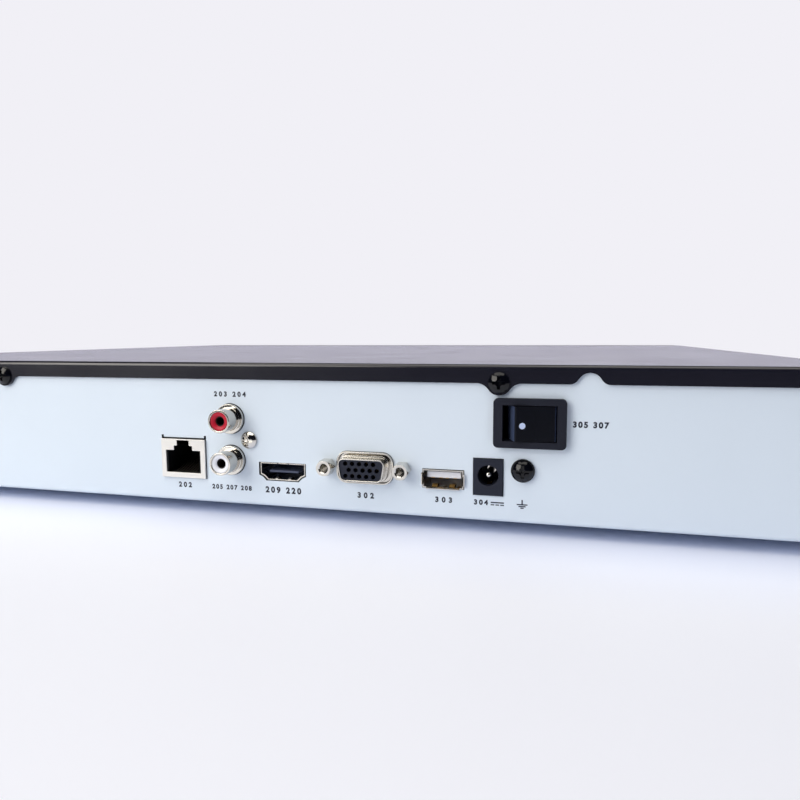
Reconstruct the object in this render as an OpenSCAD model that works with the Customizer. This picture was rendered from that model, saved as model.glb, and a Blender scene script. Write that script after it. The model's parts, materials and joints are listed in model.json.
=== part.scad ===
// Desktop video recorder in a low steel case: a folded base pan that carries the connector panel, a
// black cover over it, a plastic front bezel, and inside them the main board, one hard drive, an empty
// second drive bay, the rocker power switch and the leads between them.
// Frame: X to the right when looking at the connector panel, Y from that panel towards the bezel, Z up.
// The origin lies under the middle of the whole recorder, on the surface that it stands on.

/* [Case] */
// Width across the side walls of the cover
case_w = 380; // [370:1:420]
// Depth from the face of the connector panel to the front of the bezel
case_d = 320; // [296:1:360]
// Height of the sheet-metal body, without the feet
case_h = 48; // [47:0.5:56]
// Thickness of the base pan's steel
pan_t = 1; // [0.8:0.1:1.1]
// Thickness of the cover's steel
cover_t = 1; // [0.8:0.1:1.1]
// Outer radius of the sheet-metal bends
bend_r = 1.3; // [1.2:0.1:2]
// Gap between sheets that slide together
slip = 0.2; // [0.1:0.05:0.3]
// Height of the lips along the pan's long sides
side_lip_h = 16; // [14:1:20]
// Height of the wall at the pan's front edge
front_wall_h = 34; // [30:1:38]

/* [Cover] */
// Drop of the flange over the top of the connector panel
flange_drop = 5.6; // [5:0.1:6.5]
// Distance of the two tab screws from the middle of the case
tab_x = 90.3; // [86:0.1:93]
// Radius of the tab below each screw
tab_r = 3.8; // [3.5:0.1:4]
// Distance of the two notches in the flange from the middle of the case
notch_x = 116.2; // [110:0.1:125]
// Radius at the top of each notch
notch_r = 3.6; // [3.2:0.1:3.8]
// Height of each notch above the flange's edge
notch_h = 3.4; // [2.5:0.1:3.7]
// Fillet where a notch runs into the edge
edge_fillet_r = 3; // [2:0.1:3.2]
// Fillet where a tab runs into the edge
tab_fillet_r = 4.2; // [2:0.1:4.5]
// Number of cooling slots in each side wall
vent_count = 14; // [6:1:20]
// Width of a cooling slot
vent_w = 2.4; // [1.5:0.1:3]
// Height of a cooling slot
vent_h = 16; // [10:1:20]
// Distance from slot to slot
vent_pitch = 6; // [5:0.5:8]

/* [Front] */
// Depth of the front bezel
bezel_d = 18; // [17.5:0.1:19]
// Wall thickness of the bezel
bezel_t = 2.2; // [1.8:0.1:2.6]
// Radius on the bezel's outer edges
bezel_r = 3; // [2:0.1:4]
// Distance of the status window's middle from the right side of the case
window_in = 85; // [78:1:92]
// Width of the status window
window_w = 46; // [36:1:50]
// Height of the status window
window_h = 9; // [7:0.5:12]
// Distance of the front socket's middle from the right side of the case
front_usb_in = 40; // [32:1:44]
// Height of the status window and the front socket above the pan's underside
front_row_h = 24; // [20:0.5:28]

/* [Feet] */
// Height of a rubber foot, which is the gap below the pan
foot_h = 4; // [3:0.5:8]
// Radius of a foot where it meets the pan
foot_r = 9; // [7:0.5:12]
// Distance of the feet from the case's sides
foot_inset = 30; // [20:1:40]

/* [Main board] */
// Thickness of the circuit boards
board_t = 1.6; // [1.2:0.1:2]
// Height of the standoffs below the main board
standoff_h = 5.6; // [5:0.1:6]
// Left edge of the main board
board_x0 = -42; // [-50:1:-40]
// Distance of the board's right edge from the side of the case
board_in = 74; // [66:1:75]
// Room behind the board for the plugs and cables of the drive
cable_room = 16; // [14:1:20]

/* [Network socket] */
// Distance from the middle of the case
lan_x = -17.1; // [-18:0.1:-16.8]
// Width of the shield
lan_w = 16.8; // [16:0.1:17]
// Height of the shield
lan_h = 13.4; // [13:0.1:13.6]
// Depth of the shield
lan_d = 21; // [19:0.5:24]

/* [Audio sockets] */
// Distance from the middle of the case
audio_x = 1; // [0.6:0.1:2]
// Height of the middle of the pair above the main board
audio_lift = 13.95; // [13.9:0.05:14.6]
// Distance between the two sockets
audio_pitch = 14; // [13:0.1:14.2]
// Radius of the sleeve that a plug slides over
audio_sleeve_r = 3.85; // [3.7:0.05:4.2]
// Radius of the ring at the foot of the sleeve
audio_ring_r = 5; // [4.9:0.05:5.4]
// How far a sleeve stands out of the panel
audio_reach = 7.8; // [7:0.1:10]
// Radius of the hole for a plug's centre pin
audio_hole_r = 1.65; // [1.6:0.05:1.8]
// Distance from the sockets' axis to the screw that holds them
audio_screw_dx = 6.7; // [6.2:0.1:7]

/* [Digital video socket] */
// Distance from the middle of the case
digital_x = 19.4; // [19.2:0.1:20.5]
// Height of its middle above the main board
digital_lift = 3.65; // [3.5:0.05:4.2]
// Width of the shell
digital_w = 15.9; // [15:0.1:16]
// Height of the shell
digital_h = 5.8; // [5.5:0.1:5.9]

/* [Analogue video socket] */
// Distance from the middle of the case
vga_x = 48.1; // [47:0.1:50]
// Height of its middle above the main board
vga_lift = 6.55; // [6.5:0.05:7]
// Distance between the two jackscrews
vga_screw_pitch = 24.99; // [24.8:0.01:25.2]
// Width across the flats of a jackscrew
jack_af = 4.8; // [4.5:0.1:5]
// Radius of the threaded hole in a jackscrew
jack_hole_r = 1.3; // [1.1:0.05:1.4]
// How far the shell stands out of the panel
vga_reach = 4.8; // [4.5:0.1:6]

/* [Data socket] */
// Distance from the middle of the case
usb_x = 73.35; // [72:0.05:74]
// Height of its middle above the main board
usb_lift = 4.25; // [4.1:0.05:5]
// Width of the shell
usb_w = 12.8; // [12.7:0.1:13.3]
// Height of the shell
usb_h = 5.7; // [5.6:0.1:5.9]

/* [Power inlet] */
// Distance from the middle of the case
dc_x = 87.25; // [87:0.05:88]
// Width of the housing
dc_w = 8.9; // [8.8:0.1:9.4]
// Height of the housing
dc_h = 11.2; // [11:0.1:11.5]
// Radius of the hole for the plug
dc_hole_r = 3.15; // [3:0.05:3.3]
// Radius of the centre pin
dc_pin_r = 1; // [0.9:0.05:1.25]

/* [Earth screw] */
// Distance from the middle of the case
earth_x = 97.6; // [97.2:0.1:99]
// Height above the pan's underside
earth_h = 16.3; // [16:0.1:17]
// Radius of the screw's head
earth_head_r = 3.55; // [3.3:0.05:3.7]

/* [Power switch] */
// Distance from the middle of the case
switch_x = 99.4; // [98:0.1:101]
// Height above the pan's underside
switch_h = 30.7; // [30.6:0.1:30.8]
// Width of the bezel
switch_w = 21.2; // [21:0.1:21.5]
// Height of the bezel
switch_bezel_h = 14.8; // [14.6:0.1:15]
// How far the bezel stands out of the panel
switch_proud = 2.2; // [1.8:0.1:2.4]
// Width of the rocker's window
rocker_window_w = 15.8; // [15.6:0.1:16]
// Height of the rocker's window
rocker_window_h = 10.8; // [10:0.1:11]
// Angle of the rocker to either side of its middle
rocker_tilt = 10; // [8:0.5:10]
// Depth of the rocker's axis behind the panel's face
rocker_axis_d = 6.9; // [6.7:0.1:7]
// Radius of the rocker's axle stubs
rocker_axle_r = 1; // [0.8:0.05:1.2]
// Angle of the contact blade to either side of its middle
blade_tilt = 8; // [6:0.5:8]

/* [Hard drive] */
// Width of the drive
drive_w = 101.6; // [101.6:0.1:102]
// Length of the drive
drive_l = 147; // [146:0.1:147]
// Height of the drive
drive_h = 26.1; // [26:0.1:28]
// Left edge of the bay that holds the drive
drive_x0 = -60; // [-64:1:-56]
// Gap between the drive and the bezel
drive_gap = 9.4; // [8:0.2:14]
// Length of the drive's own circuit board
drive_board_l = 109; // [100:1:112]
// Distance of that board from the drive's sides
drive_board_in = 12.5; // [10:0.5:14]
// Height of the bosses that the drive stands on
drive_boss_h = 3; // [2.5:0.1:4]
// Radius of the disc
disc_r = 47.5; // [46:0.1:47.5]
// Thickness of the disc
disc_t = 1.3; // [1:0.1:1.8]
// Radius of the spindle that the disc's hub runs on
spindle_r = 4; // [3:0.1:5]
// Radius of the pin that the head arm turns on
arm_pin_r = 2.5; // [2:0.1:3]
// Distance from the arm's pin to the heads
arm_l = 50; // [48:0.5:51]

/* [Fasteners] */
// Radius of the thread of a case or board screw
screw_r = 1.5; // [1.4:0.05:1.6]
// Clearance around a screw in its hole
screw_gap = 0.1; // [0.05:0.05:0.2]
// Radius of a cover screw's head
cover_head_r = 3.15; // [2.8:0.05:3.3]
// Height of a cover screw's head
cover_head_h = 1.7; // [1.6:0.1:2.2]
// Radial clearance of a turning fit
turn_gap = 0.05; // [0.03:0.01:0.08]

/* [Hidden] */
$fn = 48;
tiny = 0.01;
eps = 1;                                   // how far a cutter runs past the face that it cuts
port_gap = 0.2;                            // clearance of a connector in its cut-out
skin = 0.3;                                // sheet thickness of a connector's shell
fit = 0.02;                                // clearance of a contact pressed into its insulator

// Levels and planes of the case
base_z = foot_h;                           // underside of the pan
top_z = base_z + case_h;
floor_z = base_z + pan_t;
rear_y = -(case_d - audio_reach) / 2;      // outer face of the connector panel
front_y = rear_y + case_d;
bezel_y = front_y - bezel_d;               // back rim of the bezel and front edge of the sheet metal
inner_y = rear_y + pan_t;                  // inner face of the connector panel
pan_x = case_w / 2 - cover_t - slip;       // outer face of the pan's side lips
panel_top = top_z - cover_t - slip;
edge_z = top_z - flange_drop;              // lower edge of the cover's flange
tab_z = edge_z + 0.2;                      // height of the tab screws
hole_r = screw_r + screw_gap;

// The main board takes the depth that the drive and its cables leave
board_z = floor_z + standoff_h;
board_top = board_z + board_t;
board_x1 = case_w / 2 - board_in;
board_y0 = inner_y + 0.6;
board_y1 = bezel_y - drive_gap - drive_l - cable_room;
board_d = board_y1 - board_y0;
audio_z = board_top + audio_lift;
digital_z = board_top + digital_lift;
vga_z = board_top + vga_lift;
usb_z = board_top + usb_lift;
lan_z = board_top + lan_h / 2;
dc_z = board_top + dc_h / 2;

// The drive bays: the first holds a drive, the second is empty
drive_y0 = board_y1 + cable_room;
drive_z0 = floor_z + drive_boss_h;
bay_pitch = drive_w + 13;
drive_hole_x = 3.2;                        // mounting holes from the drive's long sides
drive_hole_y = [41.3, 117.5];              // and from its connector edge
boss_r = 5;

// Screw and foot places
side_screw_y = [rear_y + 60, bezel_y - 60];
side_screw_z = base_z + 9;
foot_y = [rear_y + 38, bezel_y - 32];
standoff_at = [for (x = [board_x0 + 6, board_x1 - 6], y = [on_board(0.27), board_y1 - 6]) [x, y]];
window_x = case_w / 2 - window_in;
front_usb_x = case_w / 2 - front_usb_in;

// The place at a share of the board's depth
function on_board(share) = board_y0 + share * board_d;

// ---- outlines and shapes that several pieces share ----

function arc(c, r, a0, a1, n = 8) =
    [for (i = [0:n]) let (a = a0 + (a1 - a0) * i / n) [c[0] + r * cos(a), c[1] + r * sin(a)]];

function round_rect(w, h, r, n = 6) = concat(
    arc([w / 2 - r, h / 2 - r], r, 0, 90, n), arc([r - w / 2, h / 2 - r], r, 90, 180, n),
    arc([r - w / 2, r - h / 2], r, 180, 270, n), arc([w / 2 - r, r - h / 2], r, 270, 360, n));

function reversed(list) = [for (i = [len(list) - 1:-1:0]) list[i]];

// One point of a cubic curve, and the whole curve as a list of points
function cubic(p, t) = pow(1 - t, 3) * p[0] + 3 * t * pow(1 - t, 2) * p[1] + 3 * t * t * (1 - t) * p[2]
    + pow(t, 3) * p[3];
function curve(p, n = 12) = [for (i = [0:n]) cubic(p, i / n)];

// Unit normal of a flat path at its point i, and the outline of a band along the path
function along(path, i) = let (d = path[min(i + 1, len(path) - 1)] - path[max(i - 1, 0)]) d / norm(d);
function side_of(path, i) = let (d = along(path, i)) [-d[1], d[0]];
function band(path, t) = concat(
    [for (i = [0:len(path) - 1]) path[i] + side_of(path, i) * t / 2],
    [for (i = [len(path) - 1:-1:0]) path[i] - side_of(path, i) * t / 2]);

module block(x, y, z) translate([x[0], y[0], z[0]]) cube([x[1] - x[0], y[1] - y[0], z[1] - z[0]]);

// A flat outline in X and Z given a thickness along Y, and one in Y and Z given a width along X
module slab_y(y) translate([0, y[1], 0]) rotate([90, 0, 0]) linear_extrude(y[1] - y[0]) children();
module slab_x(x) translate([x[0], 0, 0]) rotate([90, 0, 90]) linear_extrude(x[1] - x[0]) children();

module rod_y(r, y) translate([0, y[0], 0]) rotate([-90, 0, 0]) cylinder(r = r, h = y[1] - y[0]);

// Places its children on the panel's outer face, with Y running into the case
module at_panel(x, z) translate([x, rear_y, z]) children();

// A domed cross-recess screw along +Z, with the head below Z = 0 and the thread above it
module screw(head_r, head_h, r, length) {
    dome_h = head_h * 0.7;
    dome_r = (head_r * head_r + dome_h * dome_h) / (2 * dome_h);
    arm = head_r * 1.2;
    slot = head_r * 0.3;
    difference() {
        intersection() {
            translate([0, 0, -head_h]) cylinder(r = head_r, h = head_h);
            translate([0, 0, dome_r - head_h]) sphere(r = dome_r);
        }
        for (a = [0, 90])
            rotate([0, 0, a]) translate([-arm / 2, -slot / 2, -head_h - eps])
                cube([arm, slot, eps + head_h * 0.6]);
        translate([0, 0, -head_h - tiny])
            cylinder(r1 = head_r * 0.36, r2 = head_r * 0.12, h = head_h * 0.75);
    }
    cylinder(r = r, h = length);
}

module screw_y(head_r, head_h, r, length) rotate([-90, 0, 0]) screw(head_r, head_h, r, length);

// A wire of round section along a flat path in Y and Z
module wire(path, r, sides = 8) {
    n = len(path);
    rings = [for (i = [0:n - 1]) let (s = side_of(path, i))
        for (k = [0:sides - 1]) let (a = 360 * k / sides)
            [r * cos(a), path[i][0] + s[0] * r * sin(a), path[i][1] + s[1] * r * sin(a)]];
    walls = [for (i = [0:n - 2], k = [0:sides - 1])
        let (a = i * sides + k, b = i * sides + (k + 1) % sides) [a, b, b + sides, a + sides]];
    ends = [[for (k = [sides - 1:-1:0]) k], [for (k = [0:sides - 1]) (n - 1) * sides + k]];
    polyhedron(points = rings, faces = concat(walls, ends));
}

// ---- base pan ----

function pan_profile() = let (rear = [rear_y + bend_r, base_z + bend_r],
                              front = [bezel_y - bend_r, base_z + bend_r]) concat(
    [[rear_y, panel_top]], arc(rear, bend_r, 180, 270), arc(front, bend_r, 270, 360),
    [[bezel_y, base_z + front_wall_h], [bezel_y - pan_t, base_z + front_wall_h]],
    arc(front, bend_r - pan_t, 360, 270), arc(rear, bend_r - pan_t, 270, 180), [[inner_y, panel_top]]);

function bay_holes(x0) = [for (x = [drive_hole_x, drive_w - drive_hole_x], y = drive_hole_y)
    [x0 + x, drive_y0 + y]];
drive_bays = [drive_x0, drive_x0 - bay_pitch];

module panel_cutouts() {
    cut = [-eps, pan_t + eps];
    lan_top = 0.5;                         // the shield sits low in its cut-out
    lan_ear = 0.8;                         // relief in the cut-out's upper corners
    at_panel(lan_x, lan_z) {
        block([-lan_w / 2 - port_gap, lan_w / 2 + port_gap], cut,
            [-lan_h / 2 - port_gap, lan_h / 2 + lan_top]);
        for (s = [-1, 1]) translate([s * (lan_w / 2 + port_gap - lan_ear / 2), 0, lan_h / 2 + lan_top])
            block([-lan_ear / 2, lan_ear / 2], cut, [-lan_ear, lan_ear]);
    }
    for (s = [-1, 1]) at_audio(s) rod_y(audio_ring_r + port_gap, cut);
    at_panel(audio_x + audio_screw_dx, audio_z) rod_y(hole_r, cut);
    at_panel(digital_x, digital_z) slab_y(cut) polygon(digital_outline(digital_side_gap, port_gap));
    at_panel(vga_x, vga_z) slab_y(cut) 
        polygon(round_rect(vga_ring_w + port_gap, vga_ring_h + port_gap, vga_ring_corner_r + port_gap / 2));
    for (s = [-1, 1]) at_jack(s) rod_y(jack_shank_r + screw_gap, cut);
    at_panel(usb_x, usb_z)
        block([-usb_w / 2 - port_gap, usb_w / 2 + port_gap], cut,
            [-usb_h / 2 - port_gap, usb_h / 2 + port_gap]);
    at_panel(dc_x, dc_z)
        block([-dc_w / 2 - port_gap, dc_w / 2 + port_gap], cut, [-dc_h / 2 - port_gap, dc_h / 2 + port_gap]);
    at_panel(earth_x, base_z + earth_h) rod_y(hole_r, cut);
    at_panel(switch_x, switch_z)
        block([-switch_body_w / 2 - port_gap, switch_body_w / 2 + port_gap], cut,
            [-switch_body_h / 2 - port_gap, switch_body_h / 2 + port_gap]);
    for (s = [-1, 1]) at_panel(s * tab_x, tab_z) rod_y(hole_r, cut);
}

module base_pan() color("lightsteelblue") difference() {
    union() {
        slab_x([-pan_x, pan_x]) polygon(pan_profile());
        for (s = [0, 1]) mirror([s, 0, 0])
            block([pan_x - pan_t, pan_x], [inner_y - pan_t / 2, bezel_y - pan_t / 2],
                [base_z + pan_t / 2, base_z + side_lip_h]);
        for (x0 = drive_bays, p = bay_holes(x0)) translate([p[0], p[1], floor_z - pan_t / 2])
            cylinder(r = boss_r, h = drive_boss_h + pan_t / 2);
    }
    panel_cutouts();
    for (x0 = drive_bays, p = bay_holes(x0)) translate([p[0], p[1], base_z - eps])
        cylinder(r = hole_r, h = drive_boss_h + pan_t + 2 * eps);
    for (x = [-1, 1], y = foot_y) translate([x * (case_w / 2 - foot_inset), y, base_z - eps])
        cylinder(r = hole_r, h = pan_t + 2 * eps);
    for (x = [-1, 1], y = side_screw_y) translate([x * pan_x, y, side_screw_z]) rotate([0, 90, 0])
        cylinder(r = hole_r, h = 4 * pan_t, center = true);
    for (x = bezel_boss_x) translate([x, bezel_y, base_z + bezel_boss_h])
        rod_y(hole_r, [-pan_t - eps, eps]);
    block([ribbon_x - header_w / 2 - 1, ribbon_x + header_w / 2 + 1],
        [bezel_y - pan_t - eps, bezel_y + eps], [header_z - header_h / 2 - 1, header_z + header_h / 2 + 1]);
}

// ---- cover ----

// A rounded bump in a level edge at z: up = 1 cuts a notch into the flange, up = -1 hangs a tab below it
function bump(x, z, r, lift, up, f) = let (
        dx = sqrt(pow(r + f, 2) - pow(up * f - lift, 2)), a = atan2(lift - up * f, dx),
        far = up > 0 ? -a : 360 - a) concat(
    arc([x - dx, z + up * f], f, -90 * up, a), arc([x, z + lift], r, 180 + a, far, 14),
    arc([x + dx, z + up * f], f, 180 - a, up > 0 ? 270 : 90));

function flange_edge() = concat(
    bump(-notch_x, edge_z, notch_r, notch_h - notch_r, 1, edge_fillet_r),
    bump(-tab_x, edge_z, tab_r, tab_z - edge_z, -1, tab_fillet_r),
    bump(tab_x, edge_z, tab_r, tab_z - edge_z, -1, tab_fillet_r),
    bump(notch_x, edge_z, notch_r, notch_h - notch_r, 1, edge_fillet_r));

function cover_across(t) = let (x = case_w / 2 - t, r = bend_r - t,
    c = [case_w / 2 - bend_r, top_z - bend_r]) concat(
    [[x, base_z - t]], arc(c, r, 0, 90), arc([-c[0], c[1]], r, 90, 180), [[-x, base_z - t]]);

function cover_along(t) = let (c = [rear_y - cover_t + bend_r, top_z - bend_r]) concat(
    [[bezel_y + t, base_z - t], [bezel_y + t, top_z - t]],
    arc(c, bend_r - t, 90, 180), [[rear_y - cover_t + t, base_z - t]]);

module cover_form(t) intersection() {
    slab_y([rear_y - cover_t - eps, bezel_y + eps]) polygon(cover_across(t));
    slab_x([-case_w / 2 - eps, case_w / 2 + eps]) polygon(cover_along(t));
}

module top_cover() color("#26262e") difference() {
    cover_form(0);
    cover_form(cover_t);
    slab_y([rear_y - cover_t - eps, rear_y])
        polygon(concat([[pan_x, base_z - eps - cover_t], [pan_x, edge_z]], reversed(flange_edge()),
            [[-pan_x, edge_z], [-pan_x, base_z - eps - cover_t]]));
    for (s = [-1, 1]) at_panel(s * tab_x, tab_z) rod_y(hole_r, [-cover_t - eps, eps]);
    for (x = [-1, 1], y = side_screw_y) translate([x * case_w / 2, y, side_screw_z]) rotate([0, 90, 0])
        cylinder(r = hole_r, h = 4 * cover_t, center = true);
    vent_z = (base_z + side_lip_h + top_z) / 2;
    vent_mid_y = (rear_y + bezel_y) / 2;
    for (s = [-1, 1], i = [0:vent_count - 1])
        translate([s * case_w / 2, vent_mid_y + (i - (vent_count - 1) / 2) * vent_pitch, vent_z])
            rotate([0, 90, 0]) linear_extrude(4 * cover_t, center = true)
                polygon(round_rect(vent_h, vent_w, vent_w * 0.45));
}

// ---- front bezel and what it carries ----

front_z = base_z + front_row_h;
bezel_boss_x = [-case_w / 2 + 24, case_w / 2 - 12];
bezel_boss_h = 10;
bezel_boss_r = 4;
window_t = 1.5;
front_usb_gap = 0.3;

module bezel_form(t) intersection() {
    z = (base_z + top_z) / 2;
    slab_y([bezel_y - (t > 0 ? eps : 0), front_y]) translate([0, z])
        polygon(round_rect(case_w - 2 * t, case_h - 2 * t, bezel_r - min(t, bezel_r - 0.4)));
    r = bezel_r - min(t, bezel_r - 0.4);
    slab_x([-case_w / 2, case_w / 2]) polygon(concat([[bezel_y - eps, base_z + t]],
        arc([front_y - t - r, base_z + t + r], r, 270, 360),
        arc([front_y - t - r, top_z - t - r], r, 0, 90), [[bezel_y - eps, top_z - t]]));
}

module front_bezel() color("#1c1d22") {
    difference() {
        bezel_form(0);
        bezel_form(bezel_t);
        translate([window_x, 0, front_z]) slab_y([front_y - window_t, front_y + eps])
            polygon(round_rect(window_w, window_h, 1.5));
        for (i = [-1:1]) translate([window_x + i * led_pitch, front_y - bezel_t - eps, front_z])
            rod_y(guide_r + 0.1, [0, bezel_t + eps]);
        translate([front_usb_x, 0, front_z]) block([-usb_w / 2 - front_usb_gap, usb_w / 2 + front_usb_gap],
            [front_y - bezel_t - eps, front_y + eps],
            [-usb_h / 2 - front_usb_gap, usb_h / 2 + front_usb_gap]);
        block([-case_w / 2 - eps, case_w / 2 + eps], [front_y - 0.8, front_y + eps],
            [base_z + groove_z, base_z + groove_z + 1.2]);
    }
    for (x = bezel_boss_x) difference() {
        translate([x, 0, base_z + bezel_boss_h]) rod_y(bezel_boss_r, [bezel_y, front_y - bezel_t + tiny]);
        translate([x, bezel_y, base_z + bezel_boss_h]) rod_y(hole_r, [-eps, 9]);
    }
    for (x = front_post_x) difference() {
        translate([x, 0, front_z]) rod_y(3, [front_board_y + board_t, front_y - bezel_t + tiny]);
        translate([x, front_board_y, front_z]) rod_y(front_screw_r + screw_gap, [0, 8]);
    }
}

groove_z = 13;
led_pitch = 10;
guide_r = 1.4;
front_board_y = bezel_y + 1;
front_post_x = [window_x - window_w / 2 - 2, front_usb_x + usb_w / 2 + 6];
front_screw_r = 1;
header_w = 13;                             // the ribbon's header and plugs
header_h = 5;
header_d = 4;
header_z = front_z - 5;
front_usb_inset = 0.2;
front_usb_d = front_y - front_usb_inset - front_board_y - board_t;

module status_window() color("#3a3f4a") translate([window_x, 0, front_z])
    slab_y([front_y - window_t, front_y]) polygon(round_rect(window_w - 0.2, window_h - 0.2, 1.4));

module status_lights() color("#e8ecef") for (i = [-1:1]) translate([window_x + i * led_pitch, 0, front_z]) {
    rod_y(guide_r, [front_board_y + board_t + 1, front_y - window_t]);
    rod_y(guide_r + 0.3, [front_board_y + board_t, front_board_y + board_t + 1 + tiny]);
}

module front_board() color("#2c5d3a") {
    difference() {
        block([front_post_x[0] - 4, front_post_x[1] + 4], [front_board_y, front_board_y + board_t],
            [front_z - 10, front_z + 7]);
        for (x = front_post_x) translate([x, front_board_y, front_z])
            rod_y(front_screw_r + screw_gap, [-eps, board_t + eps]);
    }
    for (x = front_post_x) translate([x, front_board_y, front_z]) screw_y(2, 0.9, front_screw_r, 6);
    block([ribbon_x - header_w / 2, ribbon_x + header_w / 2], [front_board_y - header_d, front_board_y],
        [header_z - header_h / 2, header_z + header_h / 2]);
}

module socket_shell(depth) difference() {
    block([-usb_w / 2, usb_w / 2], [0, depth], [-usb_h / 2, usb_h / 2]);
    block([skin - usb_w / 2, usb_w / 2 - skin], [-eps, depth - skin], [skin - usb_h / 2, usb_h / 2 - skin]);
}

module at_front_socket() translate([front_usb_x, front_y - front_usb_inset, front_z])
    rotate([0, 0, 180]) children();

module front_usb_shell() color("silver") at_front_socket() socket_shell(front_usb_d);

module front_usb_tongue() color("#202228") at_front_socket() socket_tongue(front_usb_d);

tongue_in = 2;                             // from the mouth of the shell to the tongue
tongue_z = 0;                              // underside of the tongue, where its contacts lie

// The insulating tongue of a data socket, with the block that closes the back of its shell
module socket_tongue(depth) {
    block([-5.35, 5.35], [tongue_in, depth - skin - 2], [tongue_z, tongue_z + 1.9]);
    block([skin - usb_w / 2, usb_w / 2 - skin], [depth - skin - 2, depth - skin],
        [skin - usb_h / 2, usb_h / 2 - skin]);
}

// ---- feet and case screws ----

foot_bore_r = 4.4;
foot_bore_h = foot_h * 0.55;

module rubber_feet() color("#1a1a1a") for (x = [-1, 1], y = foot_y)
    translate([x * (case_w / 2 - foot_inset), y, 0]) difference() {
    cylinder(r1 = foot_r - 0.8, r2 = foot_r, h = foot_h);
    translate([0, 0, -eps]) cylinder(r = foot_bore_r, h = foot_bore_h + eps);
    cylinder(r = hole_r, h = foot_h + eps);
}

module foot_screws() color("silver") for (x = [-1, 1], y = foot_y)
    translate([x * (case_w / 2 - foot_inset), y, foot_bore_h])
    screw(2.8, foot_bore_h * 0.75, screw_r, foot_h - foot_bore_h + pan_t + 2);

module rear_cover_screws() color("#15151a") for (s = [-1, 1]) at_panel(s * tab_x, tab_z)
    translate([0, -cover_t, 0])
    screw_y(cover_head_r, cover_head_h, screw_r, cover_t + pan_t + 3);

module side_cover_screws() color("#15151a") for (s = [-1, 1], y = side_screw_y)
    translate([s * case_w / 2, y, side_screw_z])
    rotate([0, -s * 90, 0]) screw(cover_head_r, cover_head_h * 0.8, screw_r, cover_t + slip + pan_t + 2);

module bezel_screws() color("silver") for (x = bezel_boss_x)
    translate([x, bezel_y - pan_t, base_z + bezel_boss_h])
    screw_y(2.7, 1.6, screw_r, pan_t + 7);

module earth_washer() color("#1d1d22") at_panel(earth_x, base_z + earth_h) difference() {
    rod_y(earth_head_r, [-0.7, 0]);
    rod_y(hole_r, [-1, eps]);
}

module earth_screw() color("#15151a") at_panel(earth_x, base_z + earth_h) translate([0, -0.7, 0])
    screw_y(earth_head_r - 0.35, 2.1, screw_r, 0.7 + pan_t + 4);

// ---- network socket ----

lan_proud = 0.8;

// Opening for the plug: the body, the shoulder and the latch, with its level 0 at the socket's middle.
// g widens the body for the shield, which stands back from the plastic at both sides.
function lan_opening(g = 0) = let (w = 6.1 + g, steps = [3.5, 2.3]) [
    [-w, -4.9], [w, -4.9], [w, 2.8], [steps[0], 2.8], [steps[0], 4.4], [steps[1], 4.4],
    [steps[1], 6.3], [-steps[1], 6.3], [-steps[1], 4.4], [-steps[0], 4.4], [-steps[0], 2.8], [-w, 2.8]];

module lan_shield() color("silver") at_panel(lan_x, lan_z) difference() {
    block([-lan_w / 2, lan_w / 2], [-lan_proud, lan_d - lan_proud], [-lan_h / 2, lan_h / 2]);
    block([skin - lan_w / 2, lan_w / 2 - skin], [skin - lan_proud, lan_d],
        [-lan_h / 2 - eps, lan_h / 2 - skin]);
    slab_y([-lan_proud - eps, 1]) polygon(lan_opening(0.5));
}

module lan_body() color("#16171b") at_panel(lan_x, lan_z) difference() {
    block([skin - lan_w / 2, lan_w / 2 - skin], [skin - lan_proud, lan_d - lan_proud],
        [-lan_h / 2, lan_h / 2 - skin]);
    slab_y([-lan_proud, 14]) polygon(lan_opening());
}

module lan_contacts() color("gold") at_panel(lan_x, lan_z) for (i = [0:7])
    slab_x([(i - 3.5) * 1.02 - 0.2, (i - 3.5) * 1.02 + 0.2])
        polygon([[1.2, -4.9], [1.8, -4.9], [10, -1.9], [14, -1.9], [14, -1.6], [9.8, -1.6], [1.2, -4.6]]);

// ---- audio sockets ----

audio_body_w = 11.6;
audio_body_h = 27.6;
audio_body_d = 13;
audio_bore_r = 3.1;                        // inside of the metal sleeve
audio_ring_t = 1.4;                        // how far the ring stands out of the panel
audio_cup_d = 0.5;                           // depth of the cone that leads a plug into the hole

// The two sockets of the pair: s is 1 for the upper one and -1 for the lower one
module at_audio(s) at_panel(audio_x, audio_z + s * audio_pitch / 2) children();

module audio_body() color("#191a1e") at_panel(audio_x, audio_z) difference() {
    union() {
        block([-audio_body_w / 2, audio_body_w / 2], [pan_t, audio_body_d],
            [board_top - audio_z, audio_body_h / 2]);
        block([audio_body_w / 2 - eps, audio_screw_dx + 3], [pan_t, pan_t + 7], [-3, 3]);
    }
    translate([audio_screw_dx, 0, 0]) rod_y(hole_r, [pan_t - eps, pan_t + 7 + eps]);
    for (s = [-1, 1]) translate([0, 0, s * audio_pitch / 2])
        rod_y(audio_bore_r, [pan_t - eps, audio_body_d - 1.5]);
}

module audio_sleeves() color("silver") for (s = [-1, 1]) at_audio(s) difference() {
    union() {
        rod_y(audio_ring_r, [-audio_ring_t, pan_t]);
        rod_y(audio_sleeve_r, [-audio_reach, 0]);
    }
    rod_y(audio_bore_r, [-audio_reach - eps, pan_t + eps]);
}

module audio_insulator(s) at_audio(s) difference() {
    rod_y(audio_bore_r, [0.3 - audio_reach, audio_body_d - 1.5]);
    rod_y(audio_hole_r, [-audio_reach, 4]);
    translate([0, 0.3 - audio_reach - tiny, 0]) rotate([-90, 0, 0])
        cylinder(r1 = audio_bore_r - 0.5, r2 = audio_hole_r, h = audio_cup_d);
}

module audio_in_insulator() color("#c22337") audio_insulator(1);
module audio_out_insulator() color("#ecedf0") audio_insulator(-1);

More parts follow.
